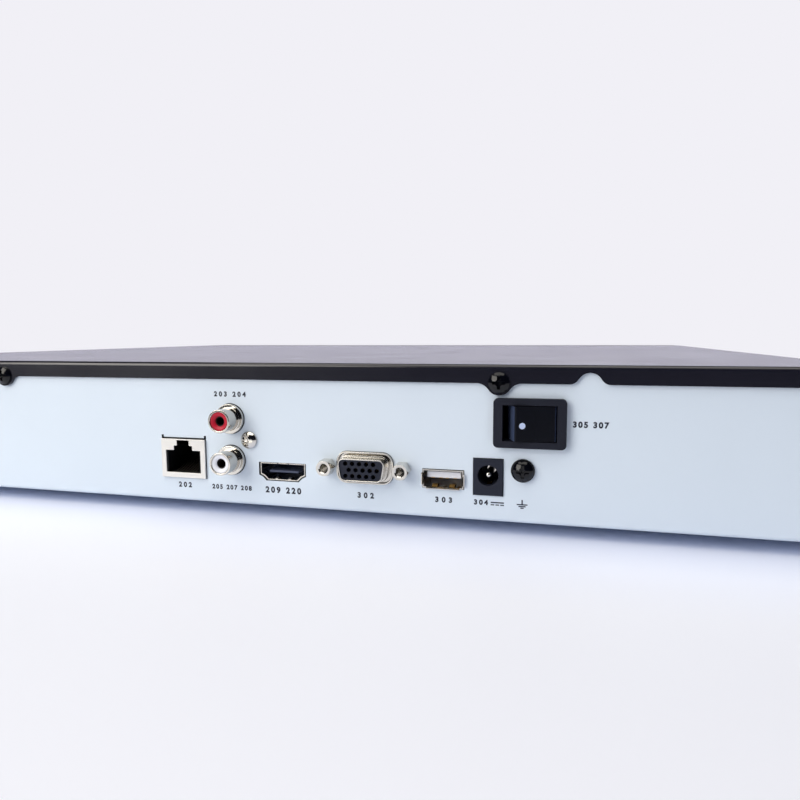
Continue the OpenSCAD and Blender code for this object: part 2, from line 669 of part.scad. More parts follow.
module audio_contacts() color("gold") for (s = [-1, 1]) at_audio(s) difference() {
    rod_y(audio_hole_r, [1.2 - audio_reach, 3.9]);
    rod_y(audio_hole_r - 0.25, [1.2 - audio_reach - eps, 3.5]);
}

module audio_screw() color("silver") at_panel(audio_x + audio_screw_dx, audio_z)
    screw_y(2.85, 2, screw_r, pan_t + 6);

// ---- digital video socket ----

digital_d = 11.5;
digital_in = 0.3;                             // from the panel's face to the mouth of the shell
digital_side_gap = 0.45;
digital_corner_w = 2.6;                       // the two lower corners are cut off, with a small step
digital_corner_h = 1.9;
digital_tongue_w = 10.4;
digital_slits = [-1.7, 2.1];                  // two slits part the shell's upper edge into three tabs

// The shell's outline, grown by gx at the sides and by gz above and below
function digital_outline(gx, gz) = let (w = digital_w / 2 + gx, h = digital_h / 2 + gz, b = w - digital_corner_w) [
    [-w, h], [-w, -h + digital_corner_h], [-w + 1.4, -h + digital_corner_h - 0.7], [-b, -h],
    [b, -h], [w - 1.4, -h + digital_corner_h - 0.7], [w, -h + digital_corner_h], [w, h]];

module digital_shell() color("silver") at_panel(digital_x, digital_z) {
    difference() {
        slab_y([digital_in, pan_t + digital_d]) polygon(digital_outline(0, 0));
        slab_y([digital_in - eps, pan_t + digital_d - skin]) polygon(digital_outline(-skin, -skin));
        for (x = digital_slits)
            block([x - 0.2, x + 0.2], [digital_in - eps, digital_in + 0.9],
                [digital_h / 2 - 2 * skin, digital_h / 2 + eps]);
    }
    shell_legs(digital_w, digital_corner_h - digital_h / 2 + 0.5, board_top - digital_z, [pan_t + 2, pan_t + 9]);
}

// A pair of thin legs that carry a raised socket's shell on the board
module shell_legs(w, top, foot, y) for (s = [0, 1]) mirror([s, 0, 0])
    block([w / 2 - skin, w / 2], y, [foot, top]);

module digital_body() color("#20242e") at_panel(digital_x, digital_z) {
    block([-digital_tongue_w / 2, digital_tongue_w / 2], [digital_in + 1.2, pan_t + digital_d - skin], [-0.5, 0.2]);
    slab_y([pan_t + digital_d - skin - 2.5, pan_t + digital_d - skin]) polygon(digital_outline(-skin, -skin));
}

// ---- analogue video socket ----

vga_ring_w = 18.8;
vga_ring_h = 10.3;
vga_flange_w = 31;
vga_flange_h = 12.4;
vga_flange_t = 0.8;
vga_pin_pitch = 2.29;
vga_row_pitch = 1.98;
vga_pin_r = 0.72;
vga_body_d = 12;
vga_ring_d = 0.9;                          // how far the ring around the shell stands out of the panel
vga_step_d = 1.5;                          // and the step at the foot of the shell
vga_ring_corner_r = 3.4;
jack_shank_r = 1.9;
jack_l = 4.6;                              // how far a jackscrew's hexagon stands out of the panel
jack_sink = 0.35;                          // countersink of its threaded hole

// The keystone shape of the shell: wide at the top, with its lower corners drawn in
function keystone(g) = let (w = 7.6 + g, h = 3.6 + g, b = w - 0.6, q = 1.9 + g, tilt = 5) concat(
    arc([w - q, h - q], q, -tilt, 90), arc([q - w, h - q], q, 90, 180 + tilt),
    arc([q - b, q - h], q, 180 + tilt, 270), arc([b - q, q - h], q, 270, 360 - tilt));

// Three rows of five pins, with the middle row half a pitch to the right
function vga_pins() = [for (row = [-1:1], i = [-2:2])
    [(i + (row == 0 ? 0.25 : -0.25)) * vga_pin_pitch, -row * vga_row_pitch]];

module vga_shell() color("silver") at_panel(vga_x, vga_z) difference() {
    union() {
        slab_y([pan_t, pan_t + vga_flange_t]) polygon(round_rect(vga_flange_w, vga_flange_h, 1));
        slab_y([-vga_ring_d, pan_t + tiny]) polygon(round_rect(vga_ring_w, vga_ring_h, vga_ring_corner_r));
        slab_y([-vga_step_d, pan_t]) polygon(keystone(0.5));
        slab_y([-vga_reach, pan_t]) polygon(keystone(0));
    }
    slab_y([-vga_ring_d - eps, 0.3]) difference() {
        polygon(round_rect(vga_ring_w - 1.1, vga_ring_h - 1.1, vga_ring_corner_r - 0.55));
        polygon(keystone(0.5));
    }
    slab_y([-vga_reach - eps, pan_t + vga_flange_t + eps]) polygon(keystone(-0.4));
    for (s = [-1, 1]) translate([s * vga_screw_pitch / 2, 0, 0])
        rod_y(jack_shank_r + screw_gap, [0, pan_t + 2 * eps]);
}

module vga_insulator() color("#2d303b") at_panel(vga_x, vga_z) difference() {
    union() {
        slab_y([0.4 - vga_reach, pan_t + vga_flange_t]) polygon(keystone(-0.4));
        block([-vga_ring_w / 2, vga_ring_w / 2], [pan_t + vga_flange_t, pan_t + vga_body_d],
            [board_top - vga_z, vga_flange_h / 2]);
    }
    for (p = vga_pins()) translate([p[0], 0, p[1]]) rod_y(vga_pin_r, [-vga_reach, 5]);
}

module vga_contacts() color("gold") for (p = vga_pins()) at_panel(vga_x + p[0], vga_z + p[1]) difference() {
    rod_y(vga_pin_r - fit, [-1.5, 5]);
    rod_y(vga_pin_r - 0.2, [-1.5 - eps, 4]);
}

module at_jack(s) at_panel(vga_x + s * vga_screw_pitch / 2, vga_z) children();

module vga_jackscrews() color("silver") for (s = [-1, 1]) at_jack(s) difference() {
    union() {
        intersection() {
            rotate([90, 0, 0]) cylinder(d = jack_af / cos(30), h = jack_l, $fn = 6);
            rotate([90, 0, 0]) cylinder(r1 = jack_af, r2 = jack_af / 2, h = jack_l + tiny);
        }
        rod_y(jack_shank_r, [0, pan_t + vga_flange_t + 3]);
    }
    rod_y(jack_hole_r, [-jack_l - eps, 1.5]);
    translate([0, -jack_l - tiny, 0]) rotate([-90, 0, 0])
        cylinder(r1 = jack_hole_r + jack_sink, r2 = jack_hole_r, h = jack_sink);
}

// ---- data socket ----

usb_proud = 0.4;
usb_d = 14;
usb_lip = 0.8;

// Section of a lip of the shell that is bent outwards: Y and the distance from the socket's middle
function usb_flare(edge) = let (out = edge + usb_lip * 0.5) [
    [-usb_proud, edge - skin], [-usb_proud + tiny, edge],
    [-usb_proud - usb_lip * 0.6, out], [-usb_proud - usb_lip * 0.75, out - skin]];

module usb_shell() color("silver") at_panel(usb_x, usb_z) {
    translate([0, -usb_proud, 0]) socket_shell(usb_d);
    shell_legs(usb_w, 0, board_top - usb_z, [pan_t + 2, usb_d - 3]);
    mirror([0, 0, 1]) slab_x([-5.2, 5.2])
        polygon(usb_flare(usb_h / 2));
    for (s = [0, 1]) mirror([s, 0, 0]) translate([0, 0, -1.9]) linear_extrude(3.8)
        polygon([for (p = usb_flare(usb_w / 2)) [p[1], p[0]]]);
}

module usb_tongue() color("#eceef0") at_panel(usb_x, usb_z) translate([0, -usb_proud, 0])
    socket_tongue(usb_d);

module usb_contacts() color("gold") at_panel(usb_x, usb_z) for (x = [-3.5, -1, 1, 3.5])
    block([x - 0.5, x + 0.5], [tongue_in, usb_d - usb_proud - skin - 2], [tongue_z - 0.2, tongue_z]);

// ---- power inlet ----

dc_proud = 0.6;
dc_d = 14;
dc_hole_up = 0.5;                          // the hole sits above the housing's middle
dc_bore_d = 10;
dc_root_r = dc_pin_r + 0.4;                // the pin's root, held in the housing

module dc_housing() color("#272c3a") at_panel(dc_x, dc_z) difference() {
    block([-dc_w / 2, dc_w / 2], [-dc_proud, dc_d], [-dc_h / 2, dc_h / 2]);
    translate([0, 0, dc_hole_up]) rod_y(dc_hole_r, [-dc_proud - eps, dc_bore_d]);
    translate([0, 0, dc_hole_up]) rod_y(dc_root_r + fit, [dc_bore_d - eps, dc_d + eps]);
    block([-0.9, 0.9], [2, dc_bore_d], [dc_hole_up - dc_hole_r - 0.7, dc_hole_up]);
}

module dc_pin() color("silver") at_panel(dc_x, dc_z) translate([0, 0, dc_hole_up]) {
    rod_y(dc_pin_r, [1.2, dc_bore_d + tiny]);
    rod_y(dc_root_r, [dc_bore_d, dc_d]);
    intersection() {
        translate([0, 1.2, 0]) sphere(r = dc_pin_r);
        rod_y(dc_pin_r, [0, 1.2 + tiny]);
    }
}

module dc_spring() color("gold") at_panel(dc_x, dc_z) translate([0, 0, dc_hole_up - dc_hole_r])
    slab_x([-0.8, 0.8]) polygon([[2, -0.7], [dc_bore_d, -0.7], [dc_bore_d, -0.45], [7, -0.4],
        [5, 0.25], [4.6, 0.25], [2.4, -0.45], [2, -0.45]]);

// ---- power switch ----

switch_body_w = 18.8;
switch_body_h = 12.8;
switch_body_d = 16;
rocker_gap = 0.2;                          // clearance of the rocker in its window
rocker_face_d = 10;                        // from the axis to the ridges at the rocker's two ends
rocker_half = 6;                           // half the length between those ridges
rocker_wall = 7.4;                         // length of the flat walls below the ridges
rocker_dip = 0.75;                         // depth of the shallow fold across the rocker's face
rocker_h = rocker_window_h - 2 * rocker_gap;
rocker_hub_r = 2.4;
plunger_r = 1;
plunger_d = 4.2;                           // from the axis to the middle of the plunger's tip
well_w = rocker_window_w + 0.4;
well_floor_d = 14.6;
blade_t = 0.6;
blade_l = 11.6;
blade_w = 4;
blade_d = rocker_axis_d + plunger_d + plunger_r + 0.1 + blade_t;    // back face of the level blade
switch_z = base_z + switch_h;

module switch_housing() color("#2b2e39") at_panel(switch_x, switch_z) difference() {
    union() {
        slab_y([-switch_proud, 0]) polygon(round_rect(switch_w, switch_bezel_h, 1.4));
        block([-switch_body_w / 2, switch_body_w / 2], [-tiny, switch_body_d],
            [-switch_body_h / 2, switch_body_h / 2]);
    }
    block([-rocker_window_w / 2, rocker_window_w / 2], [-switch_proud - eps, eps],
        [-rocker_window_h / 2, rocker_window_h / 2]);
    block([-well_w / 2, well_w / 2], [0.6, well_floor_d], [-rocker_window_h / 2, rocker_window_h / 2]);
    translate([0, rocker_axis_d, 0])
        cylinder(r = rocker_axle_r + turn_gap, h = switch_body_h + 2 * eps, center = true);
    for (x = terminal_x)
        block([x - terminal_t / 2 - fit, x + terminal_t / 2 + fit],
            [well_floor_d - eps, switch_body_d + eps], [-terminal_w / 2 - fit, terminal_w / 2 + fit]);
}

// The rocker's side view, level, about its axis: X along the switch and Y into the case
function rocker_side() = let (lean = rocker_tilt, wx = rocker_half + rocker_wall * sin(lean),
    wy = rocker_wall * cos(lean) - rocker_face_d) concat(
    [[-wx, wy], [-rocker_half, 0.4 - rocker_face_d], [0.4 - rocker_half, -rocker_face_d],
     [-0.3, rocker_dip - rocker_face_d], [0.3, rocker_dip - rocker_face_d],
     [rocker_half - 0.4, -rocker_face_d], [rocker_half, 0.4 - rocker_face_d], [wx, wy], [wx - 1, wy]],
    arc([0, 0], rocker_hub_r, -40, 50, 6), [[1.1, 2.2], [1.1, plunger_d]],
    arc([0, plunger_d], plunger_r, 0, 180, 8), [[-1.1, plunger_d], [-1.1, 2.2]],
    arc([0, 0], rocker_hub_r, 130, 220, 6), [[1 - wx, wy]]);

module switch_rocker() color("#10131d") at_panel(switch_x, switch_z) translate([0, rocker_axis_d, 0])
    rotate([0, 0, rocker_tilt]) {
    linear_extrude(rocker_h, center = true) polygon(rocker_side());
    cylinder(r = rocker_axle_r, h = switch_body_h, center = true);
}

terminal_x = [0, -4.8];
terminal_t = 0.8;
terminal_w = 4.76;

module switch_blade() color("goldenrod") at_panel(switch_x, switch_z) translate([0, blade_d, 0])
    rotate([0, 0, -blade_tilt])
    block([-blade_l / 2, blade_l / 2], [-blade_t, 0], [-blade_w / 2, blade_w / 2]);

module switch_terminals() color("silver") at_panel(switch_x, switch_z) for (x = terminal_x) {
    reach = (x == 0 ? 0 : (abs(x) + terminal_t / 2) * tan(blade_tilt)) + 0.05;
    block([x - terminal_t / 2, x + terminal_t / 2], [blade_d + reach, switch_body_d + 7],
        [-terminal_w / 2, terminal_w / 2]);
}

lead_r = 0.9;
lead_plug_h = 4;

module switch_leads() color("#b02a2a") for (x = terminal_x) {
    y0 = rear_y + switch_body_d + 7;
    y1 = on_board(0.27);
    translate([switch_x + x, 0, 0]) {
        wire(curve([[y0, switch_z], [y0 + 12, switch_z],
            [y1, board_top + 16], [y1, board_top + lead_plug_h]]), lead_r);
        block([-1.8, 1.8], [y1 - 2, y1 + 2], [board_top, board_top + lead_plug_h]);
    }
}

// ---- main board ----

module main_board() color("#1f5a3c") difference() {
    block([board_x0, board_x1], [board_y0, board_y1], [board_z, board_top]);
    at_standoffs(board_z - eps) cylinder(r = hole_r, h = board_t + 2 * eps);
}

module at_standoffs(z) for (p = standoff_at) translate([p[0], p[1], z]) children();

module board_standoffs() color("#c9a94f") at_standoffs(floor_z) difference() {
    cylinder(r = 3, h = standoff_h, $fn = 6);
    cylinder(r = hole_r, h = standoff_h + eps);
}

module board_screws() color("silver") at_standoffs(board_top) mirror([0, 0, 1])
    screw(2.8, 1.8, screw_r, board_t + standoff_h - 1);

chip_y = on_board(0.515);
chip_x = (board_x0 + board_x1) / 2;
chip_w = 23;
chip_h = 1.6;
sink_w = 40;
sink_h = 13;
sink_base = 3;
fin_t = 1.4;
fin_count = 9;

module processor() color("#202124") translate([chip_x, chip_y, board_top])
    block([-chip_w / 2, chip_w / 2], [-chip_w / 2, chip_w / 2], [0, chip_h]);

module heat_sink() color("#9fa4ab") translate([chip_x, chip_y, board_top + chip_h]) {
    block([-sink_w / 2, sink_w / 2], [-sink_w / 2, sink_w / 2], [0, sink_base]);
    for (i = [0:fin_count - 1]) {
        x = (i / (fin_count - 1) - 0.5) * (sink_w - fin_t);
        block([x - fin_t / 2, x + fin_t / 2], [-sink_w / 2, sink_w / 2], [sink_base - tiny, sink_h]);
    }
}

// A box on the board with its middle at x, y
module chip(x, y, w, d, h) translate([x, y, board_top]) block([-w / 2, w / 2], [-d / 2, d / 2], [0, h]);

memory_w = 8;
memory_d = 13;
memory_pitch = 15;
magnetics_h = 5;

// Memory in a row beside the heat sink, and the network, sound and video chips near their sockets
module board_chips() color("#1b1c20") {
    for (i = [-1.5:1.5])
        chip(chip_x + sink_w / 2 + memory_w, chip_y + i * memory_pitch, memory_w, memory_d, 1.2);
    chip(lan_x, on_board(0.27), lan_w - 1, 9, magnetics_h);
    chip(lan_x, on_board(0.41), 10, 10, 1);
    chip(audio_x + 8, on_board(0.2), 5, 6, 1.5);
    chip(vga_x, on_board(0.2), 7, 7, 1.2);
    chip(chip_x - sink_w * 0.9, chip_y + 10, 10, 6, 1.6);
}

// Coils and capacitors of the board's power supply, near the inlet, and the buzzer
coil_w = 7;
can_r = 4;
can_h = 11;
buzzer_r = 6;

module power_parts() color("#55585f") {
    for (i = [0:2]) {
        y = on_board(0.375 + 0.094 * i);
        chip(dc_x + 16, y, coil_w, coil_w, 4);
        translate([dc_x + 2, y, board_top]) cylinder(r = can_r, h = can_h);
    }
    translate([board_x0 + 2 * buzzer_r, on_board(0.58), board_top]) cylinder(r = buzzer_r, h = 9);
}

cell_at = [board_x1 - 20, on_board(0.735)];
cell_r = 10;
cell_h = 3.2;

module cell_holder() color("#17181c") translate([cell_at[0], cell_at[1], board_top]) difference() {
    cylinder(r = cell_r + 1.5, h = 4.4);
    translate([0, 0, 1.2]) cylinder(r = cell_r + 0.1, h = 4);
}

module clock_cell() color("silver") translate([cell_at[0], cell_at[1], board_top + 1.2])
    cylinder(r = cell_r, h = cell_h);

// ---- hard drive ----

drive_floor = 6;                           // floor of the casting above the drive's underside
drive_board_t = 1;
drive_board_z = 1.2;                       // underside of the drive's circuit board
drive_plug_h = 5.4;
drive_wall = 2.6;
lid_t = 1.2;
disc_at = [drive_w / 2, 93];               // spindle, from the drive's left rear corner
arm_at = [20, 37];                         // the head arm's pin
disc_z = drive_floor + 5;
hub_r = 12;
arm_hub_r = 8;
park_angle = 96;                           // direction of the parked arm, its heads over the disc's edge
cavity_top = drive_h - lid_t;

module at_drive() translate([drive_x0, drive_y0, drive_z0]) children();

module drive_casting() color("#b4b8bd") at_drive() {
    difference() {
        block([0, drive_w], [0, drive_l], [0, cavity_top]);
        translate([disc_at[0], disc_at[1], drive_floor]) cylinder(r = disc_r + 0.7, h = drive_h, $fn = 96);
        block([drive_wall, 46], [12, 66], [drive_floor, drive_h]);
        block([drive_board_in - 0.5, drive_w - drive_board_in + 0.5], [-eps, drive_board_l + 1],
            [-eps, drive_board_z + drive_board_t]);
        for (p = bay_holes(0)) translate([p[0], p[1] - drive_y0, -eps]) cylinder(r = hole_r, h = 4 + eps);
        for (p = lid_screw_at) translate([p[0], p[1], cavity_top - 5]) cylinder(r = 1.1, h = drive_h);
        block([plug_x - 16, plug_x + 24], [-eps, 5], [drive_board_z + drive_board_t - eps, 8]);
    }
    translate([disc_at[0], disc_at[1], drive_floor - tiny]) cylinder(r = spindle_r, h = 9);
    translate([arm_at[0], arm_at[1], drive_floor - tiny])
        cylinder(r = arm_pin_r, h = cavity_top - drive_floor);
}

lid_screw_at = [[5, 5], [drive_w - 5, 5], [5, drive_l - 5], [drive_w - 5, drive_l - 5]];

module drive_lid() color("silver") at_drive() difference() {
    block([0, drive_w], [0, drive_l], [cavity_top, drive_h]);
    for (p = lid_screw_at) translate([p[0], p[1], 0]) cylinder(r = 1.1, h = drive_h + eps);
    translate([disc_at[0], disc_at[1], drive_h - 0.5]) difference() {
        cylinder(r = 40, h = 2);
        translate([0, 0, -eps]) cylinder(r = 36, h = 4);
    }
}

module drive_disc() color("#d9dce0") at_drive() translate([disc_at[0], disc_at[1], 0]) difference() {
    union() {
        translate([0, 0, disc_z]) cylinder(r = disc_r, h = disc_t, $fn = 96);
        translate([0, 0, drive_floor + 0.3])
            cylinder(r = hub_r, h = disc_z + disc_t + 1.6 - drive_floor - 0.3);
    }
    translate([0, 0, drive_floor - eps]) cylinder(r = spindle_r + turn_gap, h = 9 + eps + 0.2);
}

module drive_arm() color("#c8cbd0") at_drive() translate([arm_at[0], arm_at[1], 0]) difference() {
    union() {
        translate([0, 0, drive_floor + 0.3]) cylinder(r = arm_hub_r, h = 10);
        rotate([0, 0, park_angle]) for (z = [disc_z - 2, disc_z + disc_t + 1])
            translate([0, 0, z]) linear_extrude(1)
                polygon([[0, -5], [arm_l - 8, -1.6], [arm_l, -1], [arm_l, 1], [arm_l - 8, 1.6], [0, 5]]);
        rotate([0, 0, park_angle + 180]) translate([0, 0, drive_floor + 2]) linear_extrude(3)
            polygon([[0, -6], [15, -9], [17, 0], [15, 9], [0, 6]]);
    }
    translate([0, 0, drive_floor - eps]) cylinder(r = arm_pin_r + turn_gap, h = drive_h);
}

module drive_board() color("#1d4f39") at_drive() {
    block([drive_board_in, drive_w - drive_board_in], [0, drive_board_l],
        [drive_board_z, drive_board_z + drive_board_t]);
    translate([0, 0, drive_board_z + drive_board_t])
        block([plug_x - 15, plug_x + 23], [0, 5], [0, drive_plug_h]);
}

module drive_screws() color("silver") {
    for (p = bay_holes(drive_x0)) translate([p[0], p[1], base_z])
        screw(2.8, 1.6, screw_r, pan_t + drive_boss_h + 3);
    at_drive() for (p = lid_screw_at) translate([p[0], p[1], drive_h]) mirror([0, 0, 1])
        screw(1.9, 0.8, 1, lid_t + 3);
}

// ---- drive sockets and cables ----

plug_x = 40;                               // the drive's data plug, from its left side
data_x = drive_x0 + plug_x - 9;
power_x = drive_x0 + plug_x + 12;
socket_y = board_y1 - 20;
socket_h = 9;
plug_h = 8;
ribbon_x = window_x - 13;
ribbon_w = 10;
ribbon_t = 0.9;
ribbon_bend = 44;                          // length of the ribbon's bend at either end

module drive_sockets() color("#22252b") translate([0, 0, board_top]) {
    for (x = [data_x, data_x + 3 * (power_x - data_x) / 2])
        block([x - 6, x + 6], [socket_y - 3, socket_y + 3], [0, socket_h]);
    block([power_x - 6, power_x + 6], [socket_y - 3, socket_y + 3], [0, socket_h]);
}

// A lead from a plug on the board's socket, over and down to a plug at the drive's edge
module drive_cable(x, w, t) {
    up = board_top + socket_h;
    exit_z = drive_z0 + 4.9;
    plug_y = drive_y0 - 7;
    block([x - w / 2 - 1.5, x + w / 2 + 1.5], [socket_y - 2.6, socket_y + 2.6], [up, up + plug_h]);
    block([x - w / 2 - 1.5, x + w / 2 + 1.5], [plug_y, drive_y0], [exit_z - 2.6, exit_z + 2.6]);
    slab_x([x - w / 2, x + w / 2]) polygon(band(curve([[socket_y, up + plug_h], [socket_y, up + plug_h + 12],
        [plug_y - cable_room + 2, exit_z + 4], [plug_y, exit_z]], 16), t));
}

module drive_data_cable() color("#b3202c") drive_cable(data_x, 8, 1.2);
module drive_power_cable() color("#2a2c33") drive_cable(power_x, 7, 1.5);

module front_ribbon() color("#d5d8dc") {
    y0 = board_y1 - 10;
    y1 = front_board_y - header_d;
    low = floor_z + 3;
    slab_x([ribbon_x - ribbon_w / 2, ribbon_x + ribbon_w / 2]) polygon(band(concat(
        curve([[y0, board_top + header_h - 1], [y0, board_top + 16],
            [y0 + ribbon_bend / 2, low], [y0 + ribbon_bend, low]]),
        curve([[y1 - ribbon_bend, low], [y1 - ribbon_bend / 2 - 2, low],
            [y1 - ribbon_bend / 2, header_z], [y1 - header_d, header_z]])), ribbon_t));
    block([ribbon_x - header_w / 2, ribbon_x + header_w / 2], [y0 - header_d / 2, y0 + header_d / 2],
        [board_top, board_top + header_h]);
    block([ribbon_x - header_w / 2, ribbon_x + header_w / 2], [y1 - header_d - tiny, y1],
        [header_z - header_h / 2, header_z + header_h / 2]);
}

base_pan();
top_cover();
front_bezel();
status_window();
status_lights();
front_board();
front_usb_shell();
front_usb_tongue();
rubber_feet();
foot_screws();
rear_cover_screws();
side_cover_screws();
bezel_screws();
earth_screw();
earth_washer();
audio_screw();
lan_shield();
lan_body();
lan_contacts();
audio_body();
audio_sleeves();
audio_in_insulator();
audio_out_insulator();
audio_contacts();
digital_shell();
digital_body();
vga_shell();
vga_insulator();
vga_contacts();
vga_jackscrews();
usb_shell();
usb_tongue();
usb_contacts();
dc_housing();
dc_pin();
dc_spring();
switch_housing();
switch_rocker();
switch_blade();
switch_terminals();
switch_leads();
main_board();
board_standoffs();
board_screws();
processor();
heat_sink();
board_chips();
power_parts();
clock_cell();
cell_holder();
drive_sockets();
drive_casting();
drive_lid();
drive_disc();
drive_arm();
drive_board();
drive_screws();
drive_data_cable();
drive_power_cable();
front_ribbon();
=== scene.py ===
"""Desktop video recorder, seen from its connector panel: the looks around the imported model.

Lengths are in metres unless a name ends in _mm. +X is to the right when looking at the connector
panel, +Y runs from that panel towards the front bezel, +Z is up, and the feet stand on z = 0.
"""
import json
from math import cos, radians, sin

import bmesh
import bpy
from mathutils import Matrix, Vector


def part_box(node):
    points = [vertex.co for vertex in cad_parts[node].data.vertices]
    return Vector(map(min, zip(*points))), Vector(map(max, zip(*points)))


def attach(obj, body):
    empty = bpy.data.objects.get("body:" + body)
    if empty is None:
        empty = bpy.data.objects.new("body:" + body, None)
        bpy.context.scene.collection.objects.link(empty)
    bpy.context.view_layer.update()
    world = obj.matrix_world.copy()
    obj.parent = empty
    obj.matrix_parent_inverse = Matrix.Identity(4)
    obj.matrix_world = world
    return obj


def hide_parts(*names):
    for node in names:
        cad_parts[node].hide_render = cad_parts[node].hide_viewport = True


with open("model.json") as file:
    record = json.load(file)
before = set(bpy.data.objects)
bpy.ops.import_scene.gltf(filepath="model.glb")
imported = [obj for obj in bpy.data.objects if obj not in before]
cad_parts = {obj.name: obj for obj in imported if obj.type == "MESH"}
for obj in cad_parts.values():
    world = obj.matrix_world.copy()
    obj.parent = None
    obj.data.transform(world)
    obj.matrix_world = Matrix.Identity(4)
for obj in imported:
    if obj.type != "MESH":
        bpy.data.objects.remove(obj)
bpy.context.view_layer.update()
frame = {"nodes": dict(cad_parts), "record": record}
MM = 0.001


# ---- Camera and table -------------------------------------------------------------------------
# The recorder stands on a pale seamless laminate table and is seen from close behind, a little to
# the right of its middle and just above its top. The panel's outer face is the reference plane.
panel_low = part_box("base_pan")[0]
panel_y = panel_low.y


def linear(hex_colour):
    """An sRGB colour such as #d8e1ec as linear red, green, blue and alpha."""
    parts = [int(hex_colour[i:i + 2], 16) / 255 for i in (1, 3, 5)]
    return [c / 12.92 if c <= 0.04045 else ((c + 0.055) / 1.055) ** 2.4 for c in parts] + [1.0]


def add(tree, kind, links=None, **settings):
    """Adds a node to a tree. Links fill its inputs, each with a socket or a value."""
    node = tree.nodes.new(kind)
    for name, value in settings.items():
        setattr(node, name, value)
    for name, value in (links or {}).items():
        if isinstance(value, bpy.types.NodeSocket):
            tree.links.new(value, node.inputs[name])
        else:
            node.inputs[name].default_value = value
    return node


EYE_RIGHT_MM, EYE_BEFORE_PANEL_MM, EYE_ABOVE_TABLE_MM = 108.64, 188.61, 61.11
yaw, pitch, roll = radians(-14.54), radians(5.84), radians(-0.26)
camera_data = bpy.data.cameras.new("camera")
camera_data.sensor_width = 36
camera_data.lens = 28.37
camera_data.shift_y = -0.0019
camera_data.clip_start = 0.01
camera = bpy.data.objects.new("camera", camera_data)
bpy.context.scene.collection.objects.link(camera)
ahead = Vector((sin(yaw) * cos(pitch), cos(yaw) * cos(pitch), -sin(pitch)))
level = Vector((cos(yaw), -sin(yaw), 0))
upright = level.cross(ahead)
across = level * cos(roll) + upright * sin(roll)
up = upright * cos(roll) - level * sin(roll)
camera.matrix_world = Matrix((across, up, -ahead)).transposed().to_4x4()
camera.location = (EYE_RIGHT_MM * MM, panel_y - EYE_BEFORE_PANEL_MM * MM, EYE_ABOVE_TABLE_MM * MM)
bpy.context.scene.camera = camera
bpy.context.scene.view_settings.view_transform = "Standard"

# The table fades out into the backdrop's colour well behind the case. Under the case, where the
# case shelters it, the table is painted blue as painted shade. A hand's width in front of the panel
# it is painted dark for mirror rays only, a painted shadow that bright metal reflects.
TABLE_COLOUR = "#f4f5f9"
PAINTED_SHADE_COLOUR = "#dbe4ff"
BACKDROP_COLOUR = "#f1f0f6"
DARK_ROOM_COLOUR = "#15161d"
TABLE_RADIUS, FADE_STARTS, FADE_ENDS = 2.5, 0.42, 0.95
PAINTED_SHADE_REACH, MIRRORED_SHADOW_STARTS, MIRRORED_SHADOW_ENDS = 0.05, 0.16, 0.3
bpy.ops.mesh.primitive_circle_add(vertices=96, radius=TABLE_RADIUS, fill_type="NGON", location=(0, 0, 0))
table = bpy.context.object
table.name = "table"
laminate = bpy.data.materials.new("table_laminate")
laminate.use_nodes = True
tree = laminate.node_tree
tree.nodes.clear()
place = add(tree, "ShaderNodeTexCoord")
reach = add(tree, "ShaderNodeVectorMath", {0: place.outputs["Object"]}, operation="LENGTH")
fade = add(tree, "ShaderNodeMapRange", {"Value": reach.outputs["Value"], "From Min": FADE_STARTS,
                                        "From Max": FADE_ENDS}, interpolation_type="SMOOTHSTEP")
# Painted shade: where the case shelters the table, its colour is painted towards a pale blue.
painted_shade_amount = add(tree, "ShaderNodeAmbientOcclusion", {"Distance": PAINTED_SHADE_REACH}, samples=8)
tone = add(tree, "ShaderNodeMix", {0: painted_shade_amount.outputs["AO"], 6: linear(PAINTED_SHADE_COLOUR), 7: linear(TABLE_COLOUR)},
           data_type="RGBA")
paint = add(tree, "ShaderNodeBsdfPrincipled", {"Base Color": tone.outputs[2], "Roughness": 0.55})
clear = add(tree, "ShaderNodeBsdfTransparent")
ahead_of_case = add(tree, "ShaderNodeSeparateXYZ", {0: place.outputs["Object"]})
# Painted shadow: seen in mirrors only, the table turns to the dark room's colour a hand's width in front of the panel.
painted_shadow_zone = add(tree, "ShaderNodeMapRange", {"Value": ahead_of_case.outputs["Y"], "From Min": panel_y - MIRRORED_SHADOW_STARTS,
                                         "From Max": panel_y - MIRRORED_SHADOW_ENDS}, interpolation_type="SMOOTHSTEP")
ray = add(tree, "ShaderNodeLightPath")
painted_shadow_in_mirror = add(tree, "ShaderNodeMath", {0: painted_shadow_zone.outputs["Result"], 1: ray.outputs["Is Glossy Ray"]},
                operation="MULTIPLY")
painted_shadow_glow = add(tree, "ShaderNodeEmission", {"Color": linear(DARK_ROOM_COLOUR)})
lit = add(tree, "ShaderNodeMixShader", {0: painted_shadow_in_mirror.outputs[0], 1: paint.outputs[0], 2: painted_shadow_glow.outputs[0]})
mixed = add(tree, "ShaderNodeMixShader", {0: fade.outputs["Result"], 1: lit.outputs[0], 2: clear.outputs[0]})
add(tree, "ShaderNodeOutputMaterial", {"Surface": mixed.outputs[0]})
table.data.materials.append(laminate)

